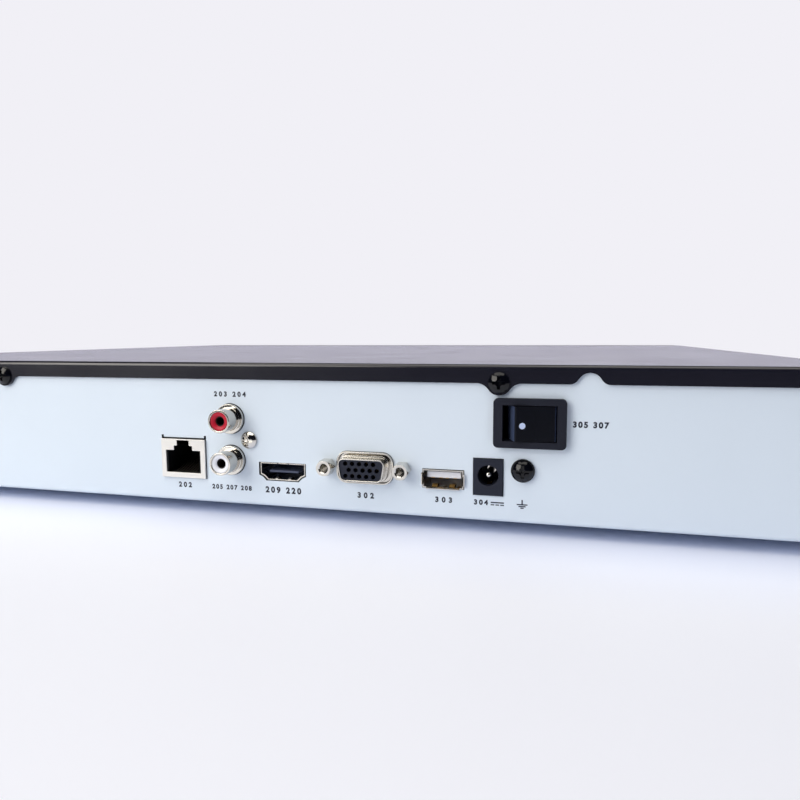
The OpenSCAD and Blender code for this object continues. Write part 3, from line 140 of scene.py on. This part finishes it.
# ---- Studio light -----------------------------------------------------------------------------
# A bright backdrop behind the case and a dark room in front of it, as glossy metal shows them,
# a large soft box up on the left in front of the panel, a weaker one low in front, one above.
ROOM_COLOUR = "#3a4a70"
world = bpy.data.worlds.new("studio")
bpy.context.scene.world = world
world.use_nodes = True
tree = world.node_tree
tree.nodes.clear()
ray = add(tree, "ShaderNodeLightPath")
place = add(tree, "ShaderNodeTexCoord")
split = add(tree, "ShaderNodeSeparateXYZ", {0: place.outputs["Generated"]})
behind = add(tree, "ShaderNodeMapRange", {"Value": split.outputs["Y"], "From Min": -0.1, "From Max": 0.5},
             interpolation_type="SMOOTHSTEP")
low = add(tree, "ShaderNodeMapRange", {"Value": split.outputs["Z"], "From Min": 0.5, "From Max": 0.2},
          interpolation_type="SMOOTHSTEP")
screen = add(tree, "ShaderNodeMath", {0: behind.outputs["Result"], 1: low.outputs["Result"]}, operation="MULTIPLY")
room = add(tree, "ShaderNodeMix", {0: screen.outputs[0], 6: linear(ROOM_COLOUR), 7: linear(BACKDROP_COLOUR)},
           data_type="RGBA")
mirrored = add(tree, "ShaderNodeMix", {0: screen.outputs[0], 6: linear(DARK_ROOM_COLOUR), 7: linear(BACKDROP_COLOUR)},
               data_type="RGBA")
lit = add(tree, "ShaderNodeMix", {0: ray.outputs["Is Glossy Ray"], 6: room.outputs[2], 7: mirrored.outputs[2]},
          data_type="RGBA")
seen = add(tree, "ShaderNodeMix", {0: ray.outputs["Is Camera Ray"], 6: lit.outputs[2], 7: linear(BACKDROP_COLOUR)},
           data_type="RGBA")
light = add(tree, "ShaderNodeBackground", {"Color": seen.outputs[2], "Strength": 1.0})
add(tree, "ShaderNodeOutputWorld", {"Surface": light.outputs[0]})


def soft_box(name, location, target, size, watts, colour):
    """A square area lamp at a place, facing a target."""
    lamp = bpy.data.lights.new(name, "AREA")
    lamp.shape = "RECTANGLE"
    lamp.size, lamp.size_y = size
    lamp.energy = watts
    lamp.color = linear(colour)[:3]
    body = bpy.data.objects.new(name, lamp)
    bpy.context.scene.collection.objects.link(body)
    body.location = location
    body.rotation_euler = (Vector(target) - Vector(location)).to_track_quat("-Z", "Y").to_euler()


# Warm white lamps, which the blue room turns neutral.
soft_box("key_box", (-0.62, panel_y - 0.75, 0.62), (-0.1, panel_y, 0.03), (0.8, 0.6), 7.6, "#fffaf0")
soft_box("fill_box", (-0.7, panel_y - 0.85, 0.24), (0.0, panel_y, 0.02), (0.5, 0.3), 2.2, "#fffdf8")
soft_box("top_box", (0.0, panel_y - 0.12, 1.2), (0.0, panel_y + 0.05, 0.05), (1.4, 1.2), 11.8, "#fffbf3")


# ---- Base pan and connector panel -------------------------------------------------------------
# Zinc-coated sheet steel, 1 mm thick, folded up at the back into the connector panel and sprayed
# with a pale blue-grey satin paint. The cut-outs' edges are painted near-black as painted shade.
def finish(name, base, other, rough, grain_mm, depth_mm, metallic=0.0, drift_mm=30, **more):
    """A material whose colour drifts slowly from base to other and whose surface has a fine grain.

    rough holds the lowest and highest roughness, grain_mm and depth_mm are the grain's width and
    height, drift_mm is how far apart the slow changes are, and more fills other shader sockets.
    """
    made = bpy.data.materials.new(name)
    made.use_nodes = True
    tree = made.node_tree
    tree.nodes.clear()
    place = add(tree, "ShaderNodeTexCoord").outputs["Object"]
    slow = add(tree, "ShaderNodeTexNoise", {"Vector": place, "Scale": 1000 / drift_mm, "Detail": 4.0})
    fine = add(tree, "ShaderNodeTexNoise", {"Vector": place, "Scale": 1000 / grain_mm, "Detail": 2.0})
    tint = add(tree, "ShaderNodeMix", {0: slow.outputs["Fac"], 6: linear(base), 7: linear(other)}, data_type="RGBA")
    gloss = add(tree, "ShaderNodeMapRange", {"Value": slow.outputs["Fac"], "From Min": 0.3, "From Max": 0.7,
                                             "To Min": rough[0], "To Max": rough[1]})
    bump = add(tree, "ShaderNodeBump", {"Height": fine.outputs["Fac"], "Distance": depth_mm * MM})
    sockets = {"Base Color": tint.outputs[2], "Roughness": gloss.outputs["Result"], "Metallic": metallic,
               "Normal": bump.outputs["Normal"]}
    sockets.update({key.replace("_", " "): value for key, value in more.items()})
    shader = add(tree, "ShaderNodeBsdfPrincipled", sockets)
    add(tree, "ShaderNodeOutputMaterial", {"Surface": shader.outputs[0]})
    return made


def dress(material, *nodes):
    """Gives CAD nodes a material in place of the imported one."""
    for node in nodes:
        for held in frame["nodes"][node].material_slots:
            held.material = material


# Satin paint: a soft, even glow with a faint orange peel of 0.9 mm.
SHEET_MM, BEND_MM = 1.05, 2.5
EDGE_SHADE_COLOUR = "#0b0c12"
panel_paint = finish("panel_satin_paint", "#d6e1ea", "#dae5ee", (0.42, 0.5), 0.9, 0.012, Coat_Weight=0.15,
                     Coat_Roughness=0.35)
tree = panel_paint.node_tree
shader = next(node for node in tree.nodes if node.type == "BSDF_PRINCIPLED")
# Painted shade: faces across the sheet's thickness, the cut-outs' edges, take a near-black colour.
place = add(tree, "ShaderNodeTexCoord")
facing = add(tree, "ShaderNodeSeparateXYZ", {0: place.outputs["Normal"]})
where = add(tree, "ShaderNodeSeparateXYZ", {0: place.outputs["Object"]})
sideways = add(tree, "ShaderNodeMath", {0: facing.outputs["Y"]}, operation="ABSOLUTE")
edge_on = add(tree, "ShaderNodeMath", {0: sideways.outputs[0], 1: 0.5}, operation="LESS_THAN")
in_sheet = add(tree, "ShaderNodeMath", {0: where.outputs["Y"], 1: panel_y + SHEET_MM * MM}, operation="LESS_THAN")
above_bend = add(tree, "ShaderNodeMath", {0: where.outputs["Z"], 1: panel_low.z + BEND_MM * MM},
                 operation="GREATER_THAN")
cut = add(tree, "ShaderNodeMath", {0: edge_on.outputs[0], 1: in_sheet.outputs[0]}, operation="MULTIPLY")
cut = add(tree, "ShaderNodeMath", {0: cut.outputs[0], 1: above_bend.outputs[0]}, operation="MULTIPLY")
coat = shader.inputs["Base Color"].links[0].from_socket
painted_edge_shade = add(tree, "ShaderNodeMix", {0: cut.outputs[0], 6: coat, 7: linear(EDGE_SHADE_COLOUR)}, data_type="RGBA")
tree.links.new(painted_edge_shade.outputs[2], shader.inputs["Base Color"])
dress(panel_paint, "base_pan")

# ---- Main board and what is soldered to it ----------------------------------------------------
# Glass-epoxy board on turned brass standoffs, held down by bright screws, with moulded chips, an
# extruded heat sink over the processor, coils and cans, and a clock cell in its holder.
# Solder mask: a green gloss that pools unevenly over the copper.
solder_mask = finish("green_solder_mask", "#17472f", "#1f5a3c", (0.3, 0.42), 1.2, 0.01, drift_mm=8)
# Chips: grey-black epoxy with the mould's fine matt grain.
chip_epoxy = finish("moulded_chip_epoxy", "#17181b", "#1e1f22", (0.5, 0.6), 0.2, 0.01)
# Heat sink: plain aluminium, a broad soft highlight.
sink_alloy = finish("extruded_aluminium", "#a2a6ac", "#b1b5ba", (0.32, 0.42), 0.4, 0.008, metallic=1.0)
# Coils: dull charcoal ferrite.
ferrite = finish("pressed_ferrite", "#3f4248", "#4d5057", (0.5, 0.65), 0.4, 0.015)
# Standoffs and cell: warm lathe-turned brass and brushed stainless.
standoff_brass = finish("turned_brass", "#b99b4e", "#c6a85a", (0.25, 0.35), 0.3, 0.004, metallic=1.0)
cell_steel = finish("stainless_cell_can", "#bdbfc0", "#c9cbcc", (0.25, 0.35), 0.5, 0.003, metallic=1.0)
# Screws: bright nickel plate, which mirrors the room with almost no grain.
bright_nickel = finish("bright_nickel_steel", "#d2cec7", "#dcd9d3", (0.09, 0.15), 0.6, 0.0006, metallic=1.0)
# Socket bodies and holder: black PBT with glass fibres, nearly matt.
black_pbt = finish("black_glass_filled_pbt", "#08090c", "#0d0e12", (0.45, 0.6), 0.3, 0.01, Specular_IOR_Level=0.3)
dress(solder_mask, "main_board")
dress(chip_epoxy, "processor", "board_chips")
dress(sink_alloy, "heat_sink")
dress(ferrite, "power_parts")
dress(standoff_brass, "board_standoffs")
dress(cell_steel, "clock_cell")
dress(bright_nickel, "board_screws")
dress(black_pbt, "drive_sockets", "cell_holder")

# ---- Network socket ---------------------------------------------------------------------------
# A black moulded body with eight spring contacts in a shield of tinned sheet steel, which is a
# little duller than nickel. It is soldered to the main board and looks out through the panel.
# Rounding welds corners this close, joins faces this flat, and rounds edges sharper than this.
SAME_POINT_MM, FLAT_DEGREES, SHARP_DEGREES = 0.002, 0.6, 30


def softened(node, material, radius_mm, segments=2):
    """A copy of a CAD node with its sharp edges rounded, which stands for that node."""
    record = frame["record"]
    body = next(b for b, members in record["behaviour"]["bodies"].items() if node in members)
    mesh = frame["nodes"][node].data.copy()
    if "custom_normal" in mesh.attributes:
        mesh.attributes.remove(mesh.attributes["custom_normal"])
    work = bmesh.new()
    work.from_mesh(mesh)
    bmesh.ops.remove_doubles(work, verts=work.verts, dist=SAME_POINT_MM * MM)
    bmesh.ops.dissolve_limit(work, angle_limit=radians(FLAT_DEGREES), verts=work.verts, edges=work.edges)
    for face in work.faces:
        face.smooth = True
    work.to_mesh(mesh)
    work.free()
    piece = bpy.data.objects.new(node + "_piece", mesh)
    bpy.context.scene.collection.objects.link(piece)
    round_edges = piece.modifiers.new("round_edges", "BEVEL")
    round_edges.width = radius_mm * MM
    round_edges.segments = segments
    round_edges.angle_limit = radians(SHARP_DEGREES)
    round_edges.harden_normals = True
    round_edges.use_clamp_overlap = True
    done = bpy.data.meshes.new_from_object(piece.evaluated_get(bpy.context.evaluated_depsgraph_get()))
    piece.modifiers.clear()
    piece.data = done
    done.materials.clear()
    done.materials.append(material)
    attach(piece, body)
    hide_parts(node)
    return piece


shield_tin = finish("tinned_sheet_steel", "#dcdad6", "#e6e4e1", (0.36, 0.44), 0.8, 0.001, metallic=1.0)
# Contacts deep in a socket: bronze painted near-black and brown as painted shade for the dark inside.
shaded_bronze = finish("painted_shade_bronze_contact", "#16120d", "#211a12", (0.5, 0.6), 0.3, 0.002)
softened("lan_shield", shield_tin, 0.1)
softened("lan_body", black_pbt, 0.12)
# Painted shade: the network socket's contacts take the near-black bronze.
dress(shaded_bronze, "lan_contacts")

# ---- Sound sockets ----------------------------------------------------------------------------
# Two turned and plated sleeves, one above the other, around a red and a white moulded insulator,
# on one black block that a bright cross-recess screw draws up against the panel.
# Nickel on thin shells: a warm grey mirror, a touch softer than on screws.
socket_nickel = finish("nickel_plated_shell", "#c9c5be", "#d6d3cd", (0.09, 0.15), 0.5, 0.0006, metallic=1.0)
# Insulators: saturated red and clean white, half gloss from a polished mould.
red_insulator = finish("red_moulded_insulator", "#b3132b", "#c01c36", (0.35, 0.45), 0.4, 0.002, Specular_IOR_Level=0.3)
white_insulator = finish("white_moulded_insulator", "#e8e9ee", "#f1f2f5", (0.3, 0.4), 0.4, 0.004)
softened("audio_sleeves", socket_nickel, 0.2)
softened("audio_in_insulator", red_insulator, 0.2)
softened("audio_out_insulator", white_insulator, 0.2)
softened("audio_screw", bright_nickel, 0.1)
# Painted shade: the sound sockets' contacts take the near-black bronze.
dress(shaded_bronze, "audio_contacts")
dress(black_pbt, "audio_body")

# ---- Digital video socket ---------------------------------------------------------------------
# A folded and plated shell with two cut-off lower corners around a grey-blue moulded tongue. Two
# plated fingers of its floor are cut free on three sides and bent up to grip the plug.
# Tongue: grey-blue PBT, paler than the other blacks, with a soft highlight along its top.
grey_blue_pbt = finish("grey_blue_glass_filled_pbt", "#3b435a", "#454d66", (0.4, 0.5), 0.3, 0.004)
softened("digital_shell", socket_nickel, 0.06)
softened("digital_body", grey_blue_pbt, 0.1)

# A pair of spring fingers as a tree: a strip of three fields rises behind the mouth, runs level
# and slopes back to the floor, gets its thickness, and is repeated at the pair's spacing.
ROW_PLACES = (0.0, 0.22, 0.36, 1.0)
ROW_HEIGHTS = (0.0, 1.0, 1.0, 0.0)
finger_tree = bpy.data.node_groups.new("spring_fingers", "GeometryNodeTree")
for size in ("Spacing", "Width", "Length", "Rise", "Thickness"):
    finger_tree.interface.new_socket(size, in_out="INPUT", socket_type="NodeSocketFloat")
finger_tree.interface.new_socket("Metal", in_out="INPUT", socket_type="NodeSocketMaterial")
finger_tree.interface.new_socket("Fingers", in_out="OUTPUT", socket_type="NodeSocketGeometry")
given = add(finger_tree, "NodeGroupInput").outputs
strip = add(finger_tree, "GeometryNodeMeshGrid", {"Size X": given["Width"], "Size Y": 3.0, "Vertices X": 2,
                                                  "Vertices Y": 4})
corner = add(finger_tree, "ShaderNodeSeparateXYZ", {0: add(finger_tree, "GeometryNodeInputPosition").outputs[0]})
row = add(finger_tree, "ShaderNodeMath", {0: corner.outputs["Y"], 1: 1.5}, operation="ADD")
row = add(finger_tree, "FunctionNodeFloatToInt", {0: row.outputs[0]}, rounding_mode="ROUND")
measures = []
for shares, size in ((ROW_PLACES, "Length"), (ROW_HEIGHTS, "Rise")):
    share = add(finger_tree, "GeometryNodeIndexSwitch", data_type="FLOAT")
    for _ in shares[2:]:
        share.index_switch_items.new()   # two are there from the start
    finger_tree.links.new(row.outputs[0], share.inputs[0])
    for socket, value in zip(share.inputs[1:], shares):
        socket.default_value = value
    measures.append(add(finger_tree, "ShaderNodeMath", {0: share.outputs[0], 1: given[size]}, operation="MULTIPLY"))
bent = add(finger_tree, "ShaderNodeCombineXYZ", {"X": corner.outputs["X"], "Y": measures[0].outputs[0],
                                                 "Z": measures[1].outputs[0]})
strip = add(finger_tree, "GeometryNodeSetPosition", {"Geometry": strip.outputs[0], "Position": bent.outputs[0]})
upward = add(finger_tree, "ShaderNodeCombineXYZ", {"Z": given["Thickness"]})
raised = add(finger_tree, "GeometryNodeExtrudeMesh", {"Mesh": strip.outputs[0], "Offset": upward.outputs[0],
                                                      "Offset Scale": 1.0, "Individual": False}, mode="FACES")
under = add(finger_tree, "GeometryNodeFlipFaces", {0: strip.outputs[0]})
both = add(finger_tree, "GeometryNodeJoinGeometry", {0: raised.outputs["Mesh"]})
finger_tree.links.new(under.outputs[0], both.inputs[0])
closed = add(finger_tree, "GeometryNodeMergeByDistance", {"Geometry": both.outputs[0], "Distance": 0.01 * MM})
closed = add(finger_tree, "GeometryNodeSetShadeSmooth", {"Geometry": closed.outputs[0], "Shade Smooth": False})
left = add(finger_tree, "ShaderNodeMath", {0: given["Spacing"], 1: -0.5}, operation="MULTIPLY")
start = add(finger_tree, "ShaderNodeCombineXYZ", {"X": left.outputs[0]})
step = add(finger_tree, "ShaderNodeCombineXYZ", {"X": given["Spacing"]})
places = add(finger_tree, "GeometryNodeMeshLine", {"Count": 2, "Start Location": start.outputs[0],
                                                   "Offset": step.outputs[0]})
pair = add(finger_tree, "GeometryNodeInstanceOnPoints", {"Points": places.outputs[0], "Instance": closed.outputs[0]})
pair = add(finger_tree, "GeometryNodeRealizeInstances", {0: pair.outputs[0]})
pair = add(finger_tree, "GeometryNodeSetMaterial", {"Geometry": pair.outputs[0], "Material": given["Metal"]})
add(finger_tree, "NodeGroupOutput", {"Fingers": pair.outputs[0]})


def fit_fingers(name, mouth, metal, spacing_mm, width_mm, length_mm, rise_mm):
    """A pair of spring fingers on the floor of a socket, behind its mouth."""
    sizes = {"Spacing": spacing_mm * MM, "Width": width_mm * MM, "Length": length_mm * MM, "Rise": rise_mm * MM,
             "Thickness": 0.25 * MM, "Metal": metal}
    piece = bpy.data.objects.new(name, bpy.data.meshes.new(name))
    bpy.context.scene.collection.objects.link(piece)
    press = piece.modifiers.new("spring_fingers", "NODES")
    press.node_group = finger_tree
    for socket in finger_tree.interface.items_tree:
        if socket.in_out == "INPUT":
            press[socket.identifier] = sizes[socket.name]
    done = bpy.data.meshes.new_from_object(piece.evaluated_get(bpy.context.evaluated_depsgraph_get()))
    piece.modifiers.clear()
    done.transform(Matrix.Translation(mouth))
    piece.data = done
    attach(piece, "recorder")


low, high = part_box("digital_body")
behind_mouth = Vector(((low.x + high.x) / 2, low.y - 0.9 * MM, low.z))
fit_fingers("digital_video_fingers", behind_mouth, socket_nickel, 4.6, 0.9, 3.0, 0.4)

# ---- Fifteen-way video socket -----------------------------------------------------------------
# A drawn and plated shell on a flanged ring around a slate insulator with fifteen holes, between
# two hexagonal jackscrews that hold it to the panel and take the plug's thumbscrews.
# Insulator: slate-blue PBT with glass fibres, nearly matt. Contacts: a flash of gold over nickel.
slate_pbt = finish("slate_glass_filled_pbt", "#171b29", "#1c2130", (0.45, 0.58), 0.3, 0.01, Specular_IOR_Level=0.3)
gold_flash = finish("gold_flashed_contact", "#c79a45", "#d8b060", (0.22, 0.3), 0.3, 0.002, metallic=1.0)
softened("vga_shell", socket_nickel, 0.15)
softened("vga_insulator", slate_pbt, 0.12)
softened("vga_jackscrews", bright_nickel, 0.12)
dress(gold_flash, "vga_contacts")

# ---- Data socket ------------------------------------------------------------------------------
# A folded and plated shell with turned-out lips over a white moulded tongue. Its two spring
# fingers are bare brass, which shows as brown glints on the floor.
bare_brass = finish("bare_spring_brass", "#8a6c3a", "#9c7b45", (0.25, 0.35), 0.3, 0.001, metallic=1.0)
softened("usb_shell", socket_nickel, 0.08)
softened("usb_tongue", white_insulator, 0.15)
dress(gold_flash, "usb_contacts")
low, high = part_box("usb_tongue")
behind_mouth = Vector(((low.x + high.x) / 2, low.y - 1.3 * MM, low.z))
fit_fingers("data_socket_fingers", behind_mouth, bare_brass, 5.4, 1.7, 4.0, 0.45)

# ---- Power inlet and earth screw --------------------------------------------------------------
# A slate moulded block with a bright centre pin and a gold-flashed spring at the side of its
# hole. The earth screw beside it is cold-headed steel, screwed into the panel over a washer.
# Black zinc: a deep glossy black that mirrors the soft boxes along every edge.
black_zinc = finish("black_zinc_steel", "#05060b", "#080911", (0.09, 0.13), 0.6, 0.001, Specular_IOR_Level=0.35)
softened("dc_housing", slate_pbt, 0.25)
dress(bright_nickel, "dc_pin")
dress(gold_flash, "dc_spring")
softened("earth_screw", black_zinc, 0.12)
softened("earth_washer", black_zinc, 0.12)

# ---- Power switch -----------------------------------------------------------------------------
# A nylon housing that snaps into the panel, and a rocker that tips in it and pushes a copper
# blade from one contact to the other. Two vinyl leads run from its terminals to the board.
# Housing: blue-black nylon, matt from a spark-eroded mould. Rocker: the same, smooth and glossier.
# Blade and terminals: warm copper and dull tin. Leads: bright red vinyl with a waxy highlight.
switch_nylon = finish("black_eroded_nylon", "#0f1320", "#141829", (0.5, 0.62), 0.35, 0.03, Specular_IOR_Level=0.3)
rocker_nylon = finish("black_smooth_nylon", "#05070f", "#080b15", (0.3, 0.4), 0.5, 0.004, Specular_IOR_Level=0.15)
copper = finish("copper_alloy_blade", "#b0733a", "#bf8248", (0.25, 0.35), 0.4, 0.003, metallic=1.0)
terminal_tin = finish("tinned_terminal", "#c6c6c2", "#d0d0cc", (0.3, 0.4), 0.4, 0.003, metallic=1.0)
red_vinyl = finish("red_vinyl_lead", "#a82525", "#b63030", (0.4, 0.5), 0.5, 0.01)
softened("switch_housing", switch_nylon, 0.3, segments=3)
rocker = softened("switch_rocker", rocker_nylon, 0.25)
dress(copper, "switch_blade")
dress(terminal_tin, "switch_terminals")
dress(red_vinyl, "switch_leads")

# Painted light: the rocker's end walls are painted paler than its face, as if the lamps lit them.
PAINTED_LIT_WALL_COLOUR = "#3a445c"
tree = rocker_nylon.node_tree
shader = next(node for node in tree.nodes if node.type == "BSDF_PRINCIPLED")
place = add(tree, "ShaderNodeTexCoord")
facing = add(tree, "ShaderNodeSeparateXYZ", {0: place.outputs["Normal"]})
sideways = add(tree, "ShaderNodeMath", {0: facing.outputs["X"]}, operation="ABSOLUTE")
lit_wall = add(tree, "ShaderNodeMath", {0: sideways.outputs[0], 1: 0.7}, operation="GREATER_THAN")
polished = shader.inputs["Base Color"].links[0].from_socket
painted_light_mix = add(tree, "ShaderNodeMix", {0: lit_wall.outputs[0], 6: polished, 7: linear(PAINTED_LIT_WALL_COLOUR)}, data_type="RGBA")
tree.links.new(painted_light_mix.outputs[2], shader.inputs["Base Color"])

# One pad-printed dot on the half that is pressed in, found by looking at the rocker from outside.
DOT_X_MM, DOT_Z_MM, DOT_RADIUS_MM, INK_MM = 97.4, 30.2, 0.95, 0.02
dot_ink = finish("pale_blue_printing_ink", "#c3d2f0", "#cbd8f3", (0.4, 0.5), 0.3, 0.001)
outside = Vector((DOT_X_MM * MM, panel_y - 10 * MM, panel_low.z + DOT_Z_MM * MM))
_, on_face, out_of_face, _ = rocker.ray_cast(outside, Vector((0, 1, 0)))
turned = out_of_face.to_track_quat("Z", "Y")
printed = bmesh.new()
bmesh.ops.create_cone(printed, cap_ends=True, segments=32, radius1=DOT_RADIUS_MM * MM,
                      radius2=DOT_RADIUS_MM * 0.97 * MM, depth=INK_MM * MM,
                      matrix=Matrix.Translation(on_face) @ turned.to_matrix().to_4x4())
dot = bpy.data.objects.new("rocker_dot", bpy.data.meshes.new("rocker_dot"))
bpy.context.scene.collection.objects.link(dot)
printed.to_mesh(dot.data)
printed.free()
dot.data.materials.append(dot_ink)
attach(dot, "rocker")

# ---- Printing on the panel --------------------------------------------------------------------
# Pad-printed marks in dark blue ink, 0.02 mm thick: plain numbers by the sockets, the sign for
# direct current by the inlet and the one for earth under its screw.
ink = finish("dark_blue_printing_ink", "#0f1428", "#151a30", (0.45, 0.6), 0.3, 0.001)
printing = bmesh.new()


def number(text, left, right, bottom, top):
    """Prints digits between these sides, in mm from the case's middle and the panel's foot."""
    line = bpy.data.curves.new("number", "FONT")
    line.body = text
    line.extrude = 0.01
    line.offset = 0.02
    line.bevel_depth = 0.032
    line.bevel_resolution = 0
    drawn = bpy.data.objects.new("number", line)
    bpy.context.scene.collection.objects.link(drawn)
    widths = []
    for spacing in (1.0, 2.0):
        line.space_character = spacing
        bpy.context.view_layer.update()
        corners = [Vector(corner) for corner in drawn.bound_box]
        widths.append(max(c.x for c in corners) - min(c.x for c in corners))
    high = max(c.y for c in corners) - min(c.y for c in corners)
    wanted = (right - left) / (top - bottom) * high
    line.space_character = 1 + (wanted - widths[0]) / (widths[1] - widths[0])
    bpy.context.view_layer.update()
    flat = bpy.data.meshes.new_from_object(drawn.evaluated_get(bpy.context.evaluated_depsgraph_get()))
    low = Vector([min(v.co[i] for v in flat.vertices) for i in range(3)])
    size = (top - bottom) / high * MM
    for v in flat.vertices:
        x, y, z = v.co - low
        v.co = (left * MM + x * size, panel_y - (INK_MM if z > 0.01 else 0.0) * MM,
                panel_low.z + bottom * MM + y * size)
    printing.from_mesh(flat)
    bpy.data.objects.remove(drawn)
    bpy.data.meshes.remove(flat)


def bar(x0, x1, z0, z1):
    """Prints a plain bar between these sides, in the same mm."""
    made = bmesh.ops.create_cube(printing, size=1)["verts"]
    for v in made:
        v.co = ((x0 + (v.co.x + 0.5) * (x1 - x0)) * MM, panel_y + (v.co.y - 0.5) * INK_MM * MM,
                panel_low.z + (z0 + (v.co.z + 0.5) * (z1 - z0)) * MM)


number("202", -19.7, -14.6, 4.7, 6.6)
number("203 204", -4.9, 6.9, 36.5, 38.3)
number("205 207 208", -6.7, 8.1, 4.8, 6.5)
number("209 220", 13.2, 26.0, 4.6, 6.8)
number("302", 45.5, 51.0, 4.8, 6.7)
number("303", 70.9, 76.2, 5.0, 6.8)
number("304", 83.0, 87.3, 5.0, 6.7)
number("305 307", 111.7, 121.8, 29.7, 31.6)

# Direct current: one long bar over three short ones. Earth: a stem over three shrinking bars.
bar(88.1, 92.1, 5.8, 6.2)
for x in (88.1, 89.55, 91.0):
    bar(x, x + 1.1, 5.1, 5.45)
EARTH_X_MM = 97.5
bar(EARTH_X_MM - 0.2, EARTH_X_MM + 0.2, 5.9, 7.3)
for half, foot in ((1.6, 5.65), (1.05, 5.1), (0.5, 4.6)):
    bar(EARTH_X_MM - half, EARTH_X_MM + half, foot, foot + 0.36)
bmesh.ops.recalc_face_normals(printing, faces=printing.faces)
marks = bpy.data.objects.new("panel_printing", bpy.data.meshes.new("panel_printing"))
bpy.context.scene.collection.objects.link(marks)
printing.to_mesh(marks.data)
printing.free()
marks.data.materials.append(ink)
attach(marks, "recorder")

# ---- Hard drive and its cables ----------------------------------------------------------------
# Die-cast alloy under a stamped stainless lid, with a polished disc on its spindle and a machined
# head arm on its pin, screwed to the pan's bosses. Vinyl cables join it and the front to the board.
# Casting: grey and slightly rough. Lid: a brushed sheen. Disc: a near-perfect mirror. Arm: satin.
cast_alloy = finish("die_cast_alloy", "#9b9fa4", "#a9adb2", (0.45, 0.58), 0.5, 0.02, metallic=1.0)
lid_steel = finish("stamped_stainless", "#b9bcc0", "#c5c8cb", (0.28, 0.38), 0.6, 0.006, metallic=1.0)
disc_polish = finish("polished_disc", "#d4d7da", "#dde0e2", (0.03, 0.06), 1.0, 0.001, metallic=1.0)
arm_alloy = finish("machined_alloy", "#bfc2c7", "#cbced2", (0.25, 0.35), 0.3, 0.004, metallic=1.0)
# Vinyl: even colour with a soft, waxy highlight.
red_cable = finish("red_vinyl_cable", "#a01d28", "#b02a35", (0.4, 0.5), 0.5, 0.01)
black_cable = finish("black_vinyl_cable", "#202228", "#282a31", (0.4, 0.5), 0.5, 0.01)
grey_ribbon = finish("grey_vinyl_ribbon", "#c6c9cd", "#d2d5d9", (0.4, 0.5), 0.5, 0.01)
dress(cast_alloy, "drive_casting")
dress(lid_steel, "drive_lid")
dress(disc_polish, "drive_disc")
dress(arm_alloy, "drive_arm")
dress(solder_mask, "drive_board")
dress(bright_nickel, "drive_screws")
dress(red_cable, "drive_data_cable")
dress(black_cable, "drive_power_cable")
dress(grey_ribbon, "front_ribbon")

# ---- Front bezel, window and front socket -----------------------------------------------------
# One ABS moulding with a smoked acrylic window, both polished from the tool, on a small board
# that carries the status lights and the front socket. Screws from behind hold it to the pan.
# Bezel: black with a soft half gloss. Window: a dark mirror. Light guides: milky, half clear.
bezel_abs = finish("black_bezel_abs", "#17181c", "#1c1d21", (0.25, 0.34), 0.8, 0.008, IOR=1.53)
window_acrylic = finish("smoked_acrylic", "#22252d", "#282c35", (0.06, 0.1), 1.0, 0.002, IOR=1.49)
light_guide = finish("milky_light_guide", "#dfe5e8", "#e9eef0", (0.2, 0.3), 0.5, 0.004, Transmission_Weight=0.25)
softened("front_bezel", bezel_abs, 0.4, segments=3)
dress(window_acrylic, "status_window")
dress(light_guide, "status_lights")
dress(solder_mask, "front_board")
dress(socket_nickel, "front_usb_shell")
dress(black_pbt, "front_usb_tongue")
dress(bright_nickel, "bezel_screws")

# ---- Cover and its screws ---------------------------------------------------------------------
# Folded sheet steel, 1 mm thick, whose two tabs are screwed to the panel and whose sides are
# screwed to the pan's lips. The screws are black zinc, as the earth screw is.
# Powder coat: a fine grain under a coat that turns pale like the backdrop at a flat angle.
powder_coat = finish("black_powder_coat", "#14141e", "#191925", (0.2, 0.24), 0.4, 0.006, IOR=1.6, Sheen_Weight=0.4,
                     Sheen_Roughness=0.2, Sheen_Tint=linear("#b9b0dd"))
dress(powder_coat, "top_cover")
softened("rear_cover_screws", black_zinc, 0.12)
dress(black_zinc, "side_cover_screws")

# ---- Feet -------------------------------------------------------------------------------------
# Four moulded nitrile rubber feet, dead matt, each held to the pan by a screw through its bore.
foot_rubber = finish("moulded_black_rubber", "#161617", "#1d1d1f", (0.75, 0.9), 0.5, 0.03)
dress(foot_rubber, "rubber_feet")
dress(bright_nickel, "foot_screws")
